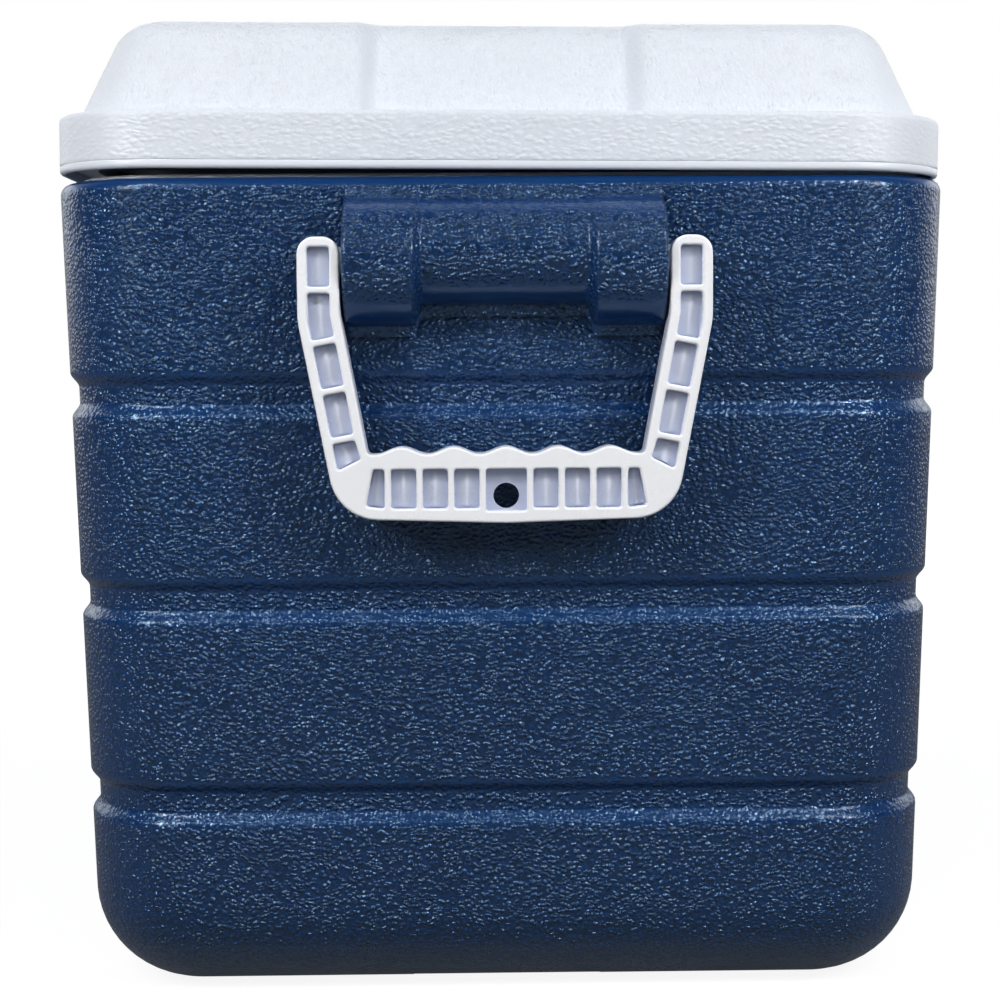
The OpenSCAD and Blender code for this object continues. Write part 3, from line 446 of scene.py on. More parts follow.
flatHalf = lid["biteWidth"] / 2
lidColumns = spread(0, flatHalf - 3, 6) + spread(flatHalf - 2, flatHalf + lid["biteSide"] + 1, 0.8)
lidColumns += spread(flatHalf + lid["biteSide"] + 3, 125, 7)
lidColumns = [-x for x in reversed(lidColumns[1:])] + lidColumns


def lidRing(inset, z, bite=0.0):
    hx, hy = lid["width"] / 2 - inset, lid["length"] / 2 - inset
    r = max(4, lid["cornerRound"] - inset)
    # columns past the scallop close up as the ring gets narrower
    columns = [x if abs(x) < 70 else math.copysign(70 + (abs(x) - 70) * (hx - r - 71) / 55, x)
               for x in lidColumns]
    if hx - r < 80:
        columns = [x * (hx - r) / 130 for x in lidColumns]
    ring = [(x, y, z) for x, y in arcPoints(hx - r, hy - r, r, 0, 20)]
    ring += [(x, hy - bite * biteShare(x), z) for x in reversed(columns)]
    ring += [(x, y, z) for x, y in arcPoints(r - hx, hy - r, r, 90, 20)]
    sides = [(hy - r) * t for t in np.linspace(-0.96, 0.96, 41)]
    ring += [(-hx, y, z) for y in reversed(sides)]
    ring += [(x, y, z) for x, y in arcPoints(r - hx, r - hy, r, 180, 20)]
    ring += [(x, bite * biteShare(x) - hy, z) for x in columns]
    ring += [(x, y, z) for x, y in arcPoints(hx - r, r - hy, r, 270, 20)]
    ring += [(hx, y, z) for y in sides]
    return ring


def makeLid():
    v = lid
    lowZ, brimZ = v["lowZ"], v["lowZ"] + v["brim"]
    crownZ = brimZ + v["crown"]
    slope = math.radians(v["slope"])
    turn = math.pi / 2 - slope
    rise = v["crown"] - v["shoulder"] * (1 - math.cos(turn))
    centre = v["inset"] + rise * math.tan(slope) + v["shoulder"] * math.sin(turn)
    levels = [lidRing(v["wall"] - i, lowZ + h) for h, i in ((9, 0), (0.6, 0), (0.1, 0.4))]
    levels += [lidRing(inset, lowZ + up) for up, inset in rounding(v["lowEdge"])]
    # fine line where the two mould halves met, above the smooth band
    line = ((3.1, 0), (3.35, 0.12), (3.5, 0.3), (3.65, 0.12), (3.9, 0))
    levels += [lidRing(i, lowZ + h) for h, i in line]
    levels += [lidRing(0, z) for z in spread(lowZ + 5, brimZ - v["brimEdge"], 3)]
    levels += [lidRing(inset, brimZ - down) for inset, down in rounding(v["brimEdge"], 15)]
    foot = v["foot"]
    start = v["inset"] - foot * math.tan(turn / 2)
    levels += [lidRing(4.5, brimZ), lidRing(start - 0.6, brimZ, v["biteDepth"])]
    for k in range(5):
        a = turn * k / 4
        rim = start + foot * math.sin(a)
        levels.append(lidRing(rim, brimZ + foot * (1 - math.cos(a)), v["biteDepth"]))
    for h in spread(2.4, rise, 3):
        levels.append(lidRing(v["inset"] + h * math.tan(slope), brimZ + h, v["biteDepth"]))
    for k in range(1, 15):
        a = turn * (1 - k / 14)
        levels.append(lidRing(centre - v["shoulder"] * math.sin(a),
                              crownZ - v["shoulder"] * (1 - math.cos(a)), v["biteDepth"]))
    edge = centre + v["biteDepth"] + 1.2
    levels.append(lidRing(edge, crownZ))
    for inset, drop in ((0.5, 0.07), (1.0, 0.3), (2.6, 1.5), (3.2, 1.86), (3.9, 2.0)):
        levels.append(lidRing(edge + inset, crownZ - drop))
    levels += [lidRing(edge + inset, crownZ - v["seat"]) for inset in (22, 60)]
    points, faces = rows(levels, capLast=True)
    return newMesh("lidTop", lidPose(points), faces, "lid", "white_lid", ("lid_shell",), 38)


lidTop = makeLid()

lip = {"length": 96, "height": 9, "edge": 1.6}


# lip that lifts the lid, hollow underneath for the fingertips
def makeLip():
    out = hinge["x"] + 5 - lid["width"] / 2 - lid["set"]
    x0 = -lid["width"] / 2

    def level(inset, z):
        hx, hy, r = out - inset, lip["length"] / 2 - inset, max(1.0, out - 1.5 - inset)
        outline = arcPoints(hx - r, hy - r, r, 0, 10) + arcPoints(r - hx, hy - r, r, 90, 10)
        outline += arcPoints(r - hx, r - hy, r, 180, 10) + arcPoints(hx - r, r - hy, r, 270, 10)
        return [(x0 + x, y, z) for x, y in outline]

    low, high, e = lid["lowZ"], lid["lowZ"] + lip["height"], lip["edge"]
    levels = [level(2.3, high - 2.5), level(2.1, low + 0.7), level(1.7, low + 0.1), level(1.1, low),
              level(0.4, low + 0.2), level(0.05, low + 1.0), level(0, high - e)]
    levels += [level(inset, high - down) for inset, down in rounding(e, 15)]
    points, faces = rows(levels, capFirst=True, capLast=True)
    return newMesh("lidLip", lidPose(points), faces, "lid", "white_lid", angle=40)


lidLip = makeLip()
print("lid:", len(lidTop.data.polygons), "faces")

bail = {
    "halfWidth": 83.6, "arm": 17, "drop": 106, "bow": 2, "gripHeight": 28, "thick": 16,
    "bend": 24, "lag": 2.5, "slope": 10.6, "cornerRound": 20,
    "bumps": 5, "bumpPitch": 21.2, "bumpHeight": 3,
    "rim": 4, "rib": 2.6, "gripRib": 9.6, "gripRibPitch": 12.8, "armRib": 11.6, "armRibPitch": 20.3,
    "cornerRise": 4.8, "gripEnd": (54, 57),
    "pocketRound": 1.2, "pocketDepth": 5.5, "ridge": 1.5, "edge": 0.9,
    "hole": 10.5, "holeRise": 10.8,
    "stub": 12, "stubLength": 14, "gap": 1,
}


slant = math.tan(math.radians(bail["slope"]))


def armOut(z):
    return bail["halfWidth"] - max(0, -bail["bend"] - z) * slant


def armIn(z):
    return bail["halfWidth"] - bail["arm"] - max(0, bail["lag"] - bail["bend"] - z) * slant


def roundedCorners(corners, steps=10):
    # corners hold x, z and the radius that replaces them
    outline = []
    for i, (x, z, r) in enumerate(corners):
        here = np.array((x, z))
        if r == 0:
            outline.append((x, z))
            continue
        before = np.array(corners[i - 1][:2]) - here
        after = np.array(corners[(i + 1) % len(corners)][:2]) - here
        u, v = before / np.linalg.norm(before), after / np.linalg.norm(after)
        half = math.acos(max(-1, min(1, float(u @ v)))) / 2
        middle = (u + v) / np.linalg.norm(u + v)
        centre = here + middle * r / math.sin(half)
        start = here + u * r / math.tan(half) - centre
        end = here + v * r / math.tan(half) - centre
        a0 = math.atan2(start[1], start[0])
        sweep = (math.atan2(end[1], end[0]) - a0 + 3 * math.pi) % (2 * math.pi) - math.pi
        for k in range(steps + 1):
            a = a0 + sweep * k / steps
            outline.append(tuple(centre + r * np.array((math.cos(a), math.sin(a)))))
    return outline


def bailOutline():
    b = bail
    top = b["arm"] / 2 + 1.2
    gripTop = b["gripHeight"] - b["drop"]
    outer, inner = b["halfWidth"], b["halfWidth"] - b["arm"]
    side = [(armOut(-b["drop"]), b["bow"] - b["drop"], b["cornerRound"]), (outer, -b["bend"], 30),
            (outer, top, 7), (inner, top, 7), (inner, b["lag"] - b["bend"], 20),
            (armIn(gripTop), gripTop, 2)]
    half = b["bumps"] * b["bumpPitch"] / 2
    wave = [(x, gripTop + b["bumpHeight"] * (1 + math.cos(2 * math.pi * x / b["bumpPitch"])) / 2, 0)
            for x in np.linspace(half, -half, b["bumps"] * 12 + 1)]
    other = [(-x, z, r) for x, z, r in reversed(side)]
    return roundedCorners([(0, -b["drop"], 0)] + side + wave + other)


def armPockets():
    b = bail
    top, low = b["arm"] / 2 + 1.2 - b["rim"], 21.5 - b["drop"]

    def ribLine(i, x, side):
        tilt = slant if i > 0 else 0
        centreZ = -b["armRib"] - i * b["armRibPitch"]
        return centreZ - (x - (b["halfWidth"] - b["arm"] * 0.75)) * tilt + side * b["rib"] / 2

    def edgePoint(i, side, outer):
        z = -b["armRib"] - i * b["armRibPitch"]
        for _ in range(8):
            x = armOut(z) - b["rim"] if outer else armIn(z) + b["rim"]
            z = ribLine(i, x, side)
        return (x, z)

    tops = [[(armOut(top) - b["rim"], top), (armIn(top) + b["rim"], top)]]
    tops += [[edgePoint(i, -1, True), edgePoint(i, -1, False)] for i in range(4)]
    lows = [[edgePoint(i, 1, True), edgePoint(i, 1, False)] for i in range(4)]
    lows.append([(armOut(low) - b["rim"], low), (armIn(low) + b["rim"], low + b["cornerRise"])])
    pockets = []
    for (outTop, inTop), (outLow, inLow) in zip(tops, lows):
        outline = [(outTop, b["pocketRound"]), (inTop, b["pocketRound"])]
        if inLow[1] < b["lag"] - b["bend"] < inTop[1]:
            outline.append(((armIn(0) + b["rim"], b["lag"] - b["bend"]), 0))
        outline += [(inLow, b["pocketRound"]), (outLow, b["pocketRound"])]
        if outLow[1] < -b["bend"] < outTop[1]:
            outline.append(((armOut(0) - b["rim"], -b["bend"]), 0))
        pockets.append([(x, z, r) for (x, z), r in outline])
    return pockets


def gripPockets():
    b = bail
    r, half = b["pocketRound"], b["rib"] / 2
    top = b["gripHeight"] - b["drop"] - b["rim"] - 2
    low = b["rim"] + b["bow"] - b["drop"]

    def block(left, right, foot):
        return [(left, foot, r), (right, foot, r), (right, top, r), (left, top, r)]

    edges = [b["gripRib"] + i * b["gripRibPitch"] for i in range(4)]
    pockets = [block(half + e, b["gripRibPitch"] - half + e, low) for e in edges[:3]]
    last = edges[3] + half
    topEnd, lowEnd = b["gripEnd"]
    pockets.append([(last, low, r), (lowEnd, low + 1, r), (topEnd, top, r), (last, top, r)])
    middle = edges[0] - half
    return pockets, block(-middle, middle, low - 1)


def solidOutline(outlines, thick, bevel):
    # outlines in (x, z) drawn out along y with rounded edges; all after the first are holes
    curve = bpy.data.curves.new("outline", "CURVE")
    curve.dimensions = "2D"
    curve.fill_mode = "BOTH"
    curve.extrude = (thick / 2 - bevel) * mm
    curve.bevel_depth = bevel * mm
    curve.bevel_resolution = 3 if bevel else 0
    curve.offset = -bevel * mm
    for outline in outlines:
        spline = curve.splines.new("POLY")
        spline.points.add(len(outline) - 1)
        spline.points.foreach_set("co", [c for x, z in outline for c in (x * mm, z * mm, 0, 1)])
        spline.use_cyclic_u = True
    thing = inScene("outline", curve)
    bpy.context.view_layer.update()
    evaluated = thing.evaluated_get(bpy.context.evaluated_depsgraph_get())
    mesh = bpy.data.meshes.new_from_object(evaluated)
    mesh.transform(Matrix.Rotation(math.pi / 2, 4, "X"))
    bpy.data.objects.remove(thing)
    points = [tuple(c / mm for c in v.co) for v in mesh.vertices]
    return points, [tuple(p.vertices) for p in mesh.polygons]


def pocketFloor(corners, face):
    # a floor that is a little higher along its middle
    b = bail
    ordered = sorted(((x, z) for x, z, r in corners), key=lambda p: p[1])
    lows, highs = ordered[:2], ordered[-2:]
    depth = b["thick"] / 2 - b["pocketDepth"]
    levels = []
    for v in (0, 0.08, 0.5, 0.92, 1):
        left = [min(lows)[i] * (1 - v) + min(highs)[i] * v for i in (0, 1)]
        right = [max(lows)[i] * (1 - v) + max(highs)[i] * v for i in (0, 1)]
        level = []
        for k in range(13):
            t = k / 12
            rise = b["ridge"] * (1 - abs(2 * t - 1)) ** 0.85 * min(1, 12 * v, 12 * (1 - v))
            x, z = (a + (c - a) * t for a, c in zip(left, right))
            level.append((x, face * (depth + rise), z))
        levels.append(level)
    return rows(levels, closed=False)


def makeBail(name, side, body, node):
    b = bail
    grips, middle = gripPockets()
    pockets = []
    for corners in armPockets() + grips:
        pockets += [corners, [(-x, z, r) for x, z, r in reversed(corners)]]
    outline = bailOutline()
    holes = [roundedCorners(p, 4) for p in pockets + [middle]]
    hole = [(b["hole"] / 2 * math.cos(a), b["holeRise"] - b["drop"] + b["hole"] / 2 * math.sin(a))
            for a in np.linspace(0, 2 * math.pi, 40, endpoint=False)]
    parts = [solidOutline([outline] + holes, b["thick"], b["edge"]),
             solidOutline([[(x * 0.9985, z * 0.9985) for x, z in outline], hole],
                          b["thick"] - 2 * b["pocketDepth"], 0.25)]
    parts += [pocketFloor(p, face) for p in pockets for face in (-1, 1)]
    inner = b["halfWidth"] - b["arm"]
    r, tip = b["stub"] / 2, inner - b["gap"] - b["stubLength"]
    stub = [(inner + 1, 0), (inner + 1, r), (tip + 1, r), (tip, r - 1), (tip, 0)]
    parts += [turned(stub, 40), mirrored(turned(stub, 40))]
    points, faces = joinedParts(parts)
    points = [(x, side * (y - pivot["y"]), z + pivot["z"]) for x, y, z in points]
    return newMesh(name, points, faces, body, "white_handle", (node,), 50)


bailNear = makeBail("bailNear", 1, "near_handle", "handle_near")
bailFar = makeBail("bailFar", -1, "far_handle", "handle_far")
print("handles:", len(bailNear.data.polygons), "faces each")

tub = {
    "halfX": 155.5, "halfY": 265.5, "floor": 33, "draft": 1.5, "cornerRound": 30, "floorRound": 10,
    "rimLow": 348.05, "rimZ": 349.9, "rimInset": 10, "rimEdge": 0.7, "mouthEdge": 2.0,
    "humpZ": 152.5, "humpY": 143.09, "humpRound": 14,
}


def makeTub():
    v = tub

    def inside(z):
        lean = (chest["height"] - z) * math.tan(math.radians(v["draft"]))
        low = roundIn(z - v["floor"], v["floorRound"])
        hx, hy = v["halfX"] - lean - low, v["halfY"] - lean - low
        return chestRing(hx, -hy, hy, max(4, v["cornerRound"] - lean - low), z)

    def rim(inset, z):
        hx, hy, r = (size - v["rimInset"] - inset
                     for size in (chest["width"] / 2, chest["length"] / 2, chest["cornerRound"]))
        return chestRing(hx, -hy, hy, r, z)

    edge = v["rimEdge"]
    levels = [rim(0, v["rimLow"]), rim(0, v["rimZ"] - edge), rim(0.2, v["rimZ"] - 0.2),
              rim(edge, v["rimZ"]), rim(12, v["rimZ"])]
    lipRing = inside(v["rimZ"] - v["mouthEdge"])
    for down, grow in rounding(v["mouthEdge"]):
        hx, hy = max(p[0] for p in lipRing) + grow, max(p[1] for p in lipRing) + grow
        levels.append(chestRing(hx, -hy, hy, v["cornerRound"] + grow, v["rimZ"] - down))
    levels += [inside(z) for z in reversed(spread(v["floor"] + v["floorRound"], v["rimZ"] - 4, 20))]
    levels += [inside(v["floor"] + up) for inset, up in rounding(v["floorRound"], 10, 10)]
    points, faces = rows(levels, capLast=True)
    # raised floor over the wheels
    side = [(v["humpY"], v["floor"] - 1), (v["humpY"], v["humpZ"] - v["humpRound"])]
    side += [(v["humpY"] + back, v["humpZ"] - down)
             for back, down in rounding(v["humpRound"], 10, 10)]
    side += [(v["halfY"] - 6, v["humpZ"])]
    across = np.linspace(-v["halfX"] + 4.5, v["halfX"] - 4.5, 9)
    hump = rows([[(x, y, z) for y, z in side] for x in across], closed=False)
    # flat seat round the drain
    seat = turned([(151, 12.5), (146.5, 12.5), (146.2, 12.2), (146.2, 9.6)], 64)
    parts = [(points, faces), hump, moved(seat, (0, drain["y"], drain["z"]))]
    return newMesh("tubSkin", *joinedParts(parts), "chest", "white_liner", ("inner_liner",), 40)


tubSkin = makeTub()
print("tub:", len(tubSkin.data.polygons), "faces")

wheel = {
    "in": 142.59, "out": 178.59, "radius": 65, "rim": 54, "shoulder": 5,
    "lines": (-8, 0, 8), "lineDepth": 2,     # the grooves round the tread
    "sipes": 56, "sipeDepth": 1.4, "sipeFrom": 8.5,
}


def makeTyre(name, side, body, node):
    w = wheel
    middle, half = (w["in"] + w["out"]) / 2, (w["out"] - w["in"]) / 2
    s, top, rim = w["shoulder"], w["radius"], w["rim"]
    profile = [(-half + 1.2, rim + 0.05), (-half + 0.3, rim + 0.7), (-half, rim + 2),
               (-half, top - s)]
    profile += [(-half + s * (1 - cosD(a)), top - s + s * sinD(a)) for a in range(15, 91, 15)]
    lineEdge = [(-1.2, top), (-0.9, top - 0.3), (-0.8, top - w["lineDepth"])]
    for g in w["lines"]:
        profile += [(g + u, r) for u, r in lineEdge] + [(g - u, r) for u, r in reversed(lineEdge)]
    profile += [(-u, r) for u, r in reversed(profile[:10])]
    count = w["sipes"] * 8
    levels = []
    for u, r in profile:
        onShoulder = w["sipeFrom"] < abs(u) < half - 0.4 and r > top - 3.5
        ring = []
        for i in range(count):
            phase = i + (4 if u > 0 else 0)
            cut = w["sipeDepth"] if onShoulder and phase % 8 in (0, 1) else 0
            a = 2 * math.pi * i / count
            ring.append((u, (r - cut) * math.cos(a), (r - cut) * math.sin(a)))
        levels.append(ring)
    levels.append(levels[0])
    points, faces = rows(levels)
    points = [(side * (middle + x), axlePlace["y"] + y, axlePlace["z"] + z) for x, y, z in points]
    return newMesh(name, points, faces, body, "tyre", (node,), 30)


tyreLeft = makeTyre("tyreLeft", -1, "left_wheel", "wheel_tyre_left")
tyreRight = makeTyre("tyreRight", 1, "right_wheel", "wheel_tyre_right")
print("tyres:", len(tyreLeft.data.polygons), "faces each")


# carried nodes: welded, edges eased, then smooth except at true edges
def smoothGroup():
    made = bpy.data.node_groups.new("smoothByAngle", "GeometryNodeTree")
    for way in ("INPUT", "OUTPUT"):
        made.interface.new_socket("Geometry", in_out=way, socket_type="NodeSocketGeometry")
    n, link = made.nodes, made.links.new
    start, end = n.new("NodeGroupInput"), n.new("NodeGroupOutput")
    faceSmooth, edgeSmooth = (n.new("GeometryNodeSetShadeSmooth") for _ in range(2))
    edgeSmooth.domain = "EDGE"
    angle, below = n.new("GeometryNodeInputMeshEdgeAngle"), n.new("FunctionNodeCompare")
    below.operation = "LESS_THAN"
    below.inputs[1].default_value = math.radians(32)
    link(start.outputs[0], faceSmooth.inputs["Geometry"])
    link(faceSmooth.outputs[0], edgeSmooth.inputs["Geometry"])
    link(angle.outputs["Unsigned Angle"], below.inputs[0])
    link(below.outputs[0], edgeSmooth.inputs["Selection"])
    link(edgeSmooth.outputs[0], end.inputs[0])
    return made


smoothByAngle = smoothGroup()
easedEdges = {
    "lid_pan": 1.0, "drain_spout": 0.5, "drain_washer": 0.3, "drain_nut": 0.5, "drain_plug": 0.6,
    "hinge_base_near": 0.5, "hinge_base_far": 0.5, "hinge_leaf_near": 0.5, "hinge_leaf_far": 0.5,
    "hinge_base_screws": 0.3, "hinge_leaf_screws": 0.3, "hinge_pin_near": 0.3, "hinge_pin_far": 0.3,
    "lid_gasket": 0.8, "axle": 0.5, "axle_keeper_left": 0.7, "axle_keeper_right": 0.7,
    "axle_keeper_screws": 0.3, "axle_washer_left": 0.3, "axle_washer_right": 0.3,
    "wheel_rim_left": 0.8, "wheel_rim_right": 0.8, "push_cap_left": 0.3, "push_cap_right": 0.3,
}
for node, piece in frame["nodes"].items():
    if piece.hide_render:
        continue
    weld = piece.modifiers.new("weld", "WELD")
    weld.merge_threshold = 0.00001
    if node in easedEdges:
        ease = piece.modifiers.new("ease", "BEVEL")
        ease.width = easedEdges[node] * mm
        ease.segments = 2
        ease.limit_method = "ANGLE"
        ease.angle_limit = math.radians(40)
        ease.use_clamp_overlap = True
    smooth = piece.modifiers.new("smooth", "NODES")
    smooth.node_group = smoothByAngle
print("carried nodes eased")


def group(name, inputs, outputs):
    made = bpy.data.node_groups.new(name, "ShaderNodeTree")
    for label, kind, value in inputs:
        socket = made.interface.new_socket(label, in_out="INPUT", socket_type=kind)
        if value is not None:
            socket.default_value = value
    for label, kind in outputs:
        made.interface.new_socket(label, in_out="OUTPUT", socket_type=kind)
    return made, made.nodes.new("NodeGroupInput"), made.nodes.new("NodeGroupOutput")


# each input of a node takes another node's output or a plain value
def fed(tree, kind, values, **settings):
    node = tree.nodes.new(kind)
    for label, setting in settings.items():
        setattr(node, label, setting)
    for label, value in values.items():
        if isinstance(value, bpy.types.NodeSocket):
            tree.links.new(value, node.inputs[label])
        else:
            node.inputs[label].default_value = value
    return node


def mathNode(tree, operation, *values, clamp=False):
    inputs = dict(enumerate(values))
    return fed(tree, "ShaderNodeMath", inputs, operation=operation, use_clamp=clamp).outputs[0]


def times(tree, a, b):
    return mathNode(tree, "MULTIPLY", a, b)


def plus(tree, a, b, clamp=False):
    return mathNode(tree, "ADD", a, b, clamp=clamp)


def minus(tree, a, b):
    return mathNode(tree, "SUBTRACT", a, b)


def larger(tree, a, b):
    return mathNode(tree, "MAXIMUM", a, b)


def unsigned(tree, a):
    return mathNode(tree, "ABSOLUTE", a)


def mapped(tree, value, low, high, toLow=0.0, toHigh=1.0):
    values = {"Value": value, "From Min": low, "From Max": high, "To Min": toLow, "To Max": toHigh}
    node = fed(tree, "ShaderNodeMapRange", values, interpolation_type="SMOOTHSTEP")
    return node.outputs["Result"]


def noise(tree, vector, scale, detail=2.0, rough=0.5, colour=False):
    values = {"Vector": vector, "Scale": scale, "Detail": detail, "Roughness": rough}
    return fed(tree, "ShaderNodeTexNoise", values).outputs["Color" if colour else "Fac"]


def vectorNode(tree, operation, values):
    return fed(tree, "ShaderNodeVectorMath", values, operation=operation).outputs["Vector"]


def parted(tree, vector):
    return fed(tree, "ShaderNodeSeparateXYZ", {0: vector}).outputs


# moulded leather grain: pebbles parted by creases, with fine wrinkles over them
def leatherGroup():
    made, start, end = group("leatherGrain", [
        ("Vector", "NodeSocketVector", None), ("Cells per metre", "NodeSocketFloat", 420.0),
        ("Stretch", "NodeSocketVector", (1, 1, 1)), ("Wander", "NodeSocketFloat", 0.0017),
        ("Fine share", "NodeSocketFloat", 0.8)],
        [("Height", "NodeSocketFloat"), ("Crease", "NodeSocketFloat")])
    link = made.links.new
    where = start.outputs["Vector"]
    warped = where
    quick, slow = (260, 2, 0.6, start.outputs["Wander"]), (45, 1, 0.5, 0.006)
    for scale, detail, rough, reach in (quick, slow):
        swirl = noise(made, where, scale, detail, rough, True)
        drift = vectorNode(made, "SUBTRACT", {0: swirl, 1: (0.5, 0.5, 0.5)})
        drift = vectorNode(made, "SCALE", {0: drift, "Scale": reach})
        warped = vectorNode(made, "ADD", {0: warped, 1: drift})
    warped = vectorNode(made, "MULTIPLY", {0: warped, 1: start.outputs["Stretch"]})
    values = {"Vector": warped, "Scale": start.outputs["Cells per metre"]}
    cells = fed(made, "ShaderNodeTexVoronoi", values, feature="SMOOTH_F1")
    cells.inputs["Smoothness"].default_value = 0.25
    rims = fed(made, "ShaderNodeTexVoronoi", values, feature="DISTANCE_TO_EDGE")
    dome = mapped(made, cells.outputs["Distance"], 0.08, 0.72, 1.0, 0.0)
    # crease mask; the finishes paint shade along it and make it rougher
    creaseShade = mapped(made, rims.outputs["Distance"], 0.0, 0.2, 1.0, 0.0)
    fine = times(made, noise(made, where, 1300, 1), start.outputs["Fine share"])
    uneven = mapped(made, noise(made, where, 300, 1), 0.3, 0.7, 0.6, 1.0)
    total = plus(made, times(made, dome, uneven), times(made, fine, 0.15))
    link(total, end.inputs["Height"])
    link(creaseShade, end.inputs["Crease"])
    return made


# where the chest is smooth: groove lips, the tops of the bosses, the very edges
def smoothZonesGroup():
    made, start, end = group("smoothZones", [
        ("Vector", "NodeSocketVector", None), ("Normal", "NodeSocketVector", None),
        ("First groove", "NodeSocketFloat", 0.0855), ("Groove pitch", "NodeSocketFloat", 0.0864),
        ("Top groove", "NodeSocketFloat", 0.27), ("Boss line", "NodeSocketFloat", 0.316)],
        [("Grain", "NodeSocketFloat")])
    link = made.links.new
    at, facing = parted(made, start.outputs["Vector"]), parted(made, start.outputs["Normal"])
    height, pitch = at["Z"], start.outputs["Groove pitch"]
    steps = mathNode(made, "DIVIDE", minus(made, height, start.outputs["First groove"]), pitch)
    near = unsigned(made, minus(made, steps, mathNode(made, "ROUND", steps)))
    away = times(made, near, pitch)
    below = mathNode(made, "LESS_THAN", height, start.outputs["Top groove"])
    lipIn = mapped(made, away, 0.0030, 0.0042)
    lipOut = mapped(made, away, 0.0094, 0.0108, 1.0, 0.0)
    lips = times(made, times(made, lipIn, lipOut), below)
    # the bosses stand out past the end walls and face upwards at their tops
    out = mapped(made, unsigned(made, at["Y"]), 0.3012, 0.3032)
    onBoss = mathNode(made, "GREATER_THAN", height, 0.28)
    up = mapped(made, facing["Z"], 0.55, 0.8, 0.0, 0.75)
    down = mapped(made, facing["Z"], -0.75, -0.45, 1.0, 0.0)
    bossTop, bossLow = (times(made, times(made, out, way), onBoss) for way in (up, down))
    edge = mapped(made, height, 0.3425, 0.3455)
    bare = larger(made, larger(made, times(made, lips, 0.55), bossTop), larger(made, bossLow, edge))
    corner = unsigned(made, times(made, facing["X"], facing["Y"]))
    corner = mapped(made, corner, 0.25, 0.5, 1.0, 0.6)
    under = mapped(made, facing["Z"], -0.95, -0.6, 0.15, 1.0)
    grain = times(made, minus(made, 1.0, bare), times(made, corner, under))
    link(grain, end.inputs["Grain"])
    return made


# rubbed and handled places: soft light patches and a few thin scratches
def wearGroup():
    made, start, end = group("wear", [
        ("Vector", "NodeSocketVector", None), ("Patch scale", "NodeSocketFloat", 14.0),
        ("Scratch scale", "NodeSocketFloat", 60.0)],
        [(label, "NodeSocketFloat") for label in ("Patches", "Scratches", "Dust")])
    link = made.links.new
    where = start.outputs["Vector"]
    patches = noise(made, where, start.outputs["Patch scale"], 3)
    link(mapped(made, patches, 0.42, 0.68), end.inputs["Patches"])
    values = {"Vector": where, "Rotation": (0.5, 0.9, 0.35), "Scale": (22, 1, 22)}
    drawn = fed(made, "ShaderNodeMapping", values).outputs[0]
    lines = noise(made, drawn, start.outputs["Scratch scale"], 1)
    thin = mapped(made, lines, 0.715, 0.75)
    rare = mapped(made, noise(made, where, 22, 2), 0.5, 0.6)
    link(times(made, thin, rare), end.inputs["Scratches"])
    link(mapped(made, noise(made, where, 900, 3, 0.7), 0.45, 0.75), end.inputs["Dust"])
    return made


# fine moulded skin on smooth plastic and rubber
def mouldedGroup():
    made, start, end = group("mouldedSkin", [
        ("Vector", "NodeSocketVector", None), ("Fineness", "NodeSocketFloat", 900.0),
        ("Ripple", "NodeSocketFloat", 30.0)],
        [("Height", "NodeSocketFloat"), ("Tone", "NodeSocketFloat")])
    link = made.links.new
    where = start.outputs["Vector"]
    fine, ripple = (noise(made, where, start.outputs[k], 2) for k in ("Fineness", "Ripple"))
    link(plus(made, times(made, fine, 0.15), ripple), end.inputs["Height"])
    link(mapped(made, ripple, 0.3, 0.7), end.inputs["Tone"])
    return made


leatherGrain, smoothZones = leatherGroup(), smoothZonesGroup()
wear, mouldedSkin = wearGroup(), mouldedGroup()


class Finish:
    # a material with its shader and the handles that the finishes below share
    def __init__(self, name, settings):
        self.material = bpy.data.materials.new(name)
        self.material.use_nodes = True
        self.tree = self.material.node_tree
        self.shader = self.tree.nodes["Principled BSDF"]
        self.place = self.tree.nodes.new("ShaderNodeTexCoord")
        self.where = self.place.outputs["Object"]
        for label, value in settings.items():
            self.shader.inputs[label].default_value = value

    def use(self, shared, **values):
        node = self.tree.nodes.new("ShaderNodeGroup")
        node.node_tree = shared
        self.tree.links.new(self.where, node.inputs["Vector"])
        if "Normal" in node.inputs:
            self.tree.links.new(self.place.outputs["Normal"], node.inputs["Normal"])
        for label, value in values.items():
            node.inputs[label.replace("_", " ")].default_value = value
        return node.outputs

    def blend(self, share, a, b):
        node = self.tree.nodes.new("ShaderNodeMix")
        node.data_type = "RGBA"
        for label, value in (("Factor", share), ("A", a), ("B", b)):
            if isinstance(value, tuple):
                node.inputs[label].default_value = (*value, 1)
            else:
                self.tree.links.new(value, node.inputs[label])
        return node.outputs["Result"]

    def colour(self, result):
        self.tree.links.new(result, self.shader.inputs["Base Color"])

    def rough(self, result):
        self.tree.links.new(result, self.shader.inputs["Roughness"])

    def bump(self, height, distance):
        values = {"Height": height, "Distance": distance, "Strength": 1.0}
        node = fed(self.tree, "ShaderNodeBump", values)
        self.tree.links.new(node.outputs["Normal"], self.shader.inputs["Normal"])


blueShell = {
    "base": (0.0024, 0.031, 0.128), "light": (0.006, 0.048, 0.172),
    "creaseShade": (0.0002, 0.0045, 0.022), "dustAndFloorSheen": (0.12, 0.18, 0.30),
    "rough": 0.22, "grainDepth": 0.0010, "cells": 520.0,
    "fadeLow": 0.010, "fadeHigh": 0.028,
}


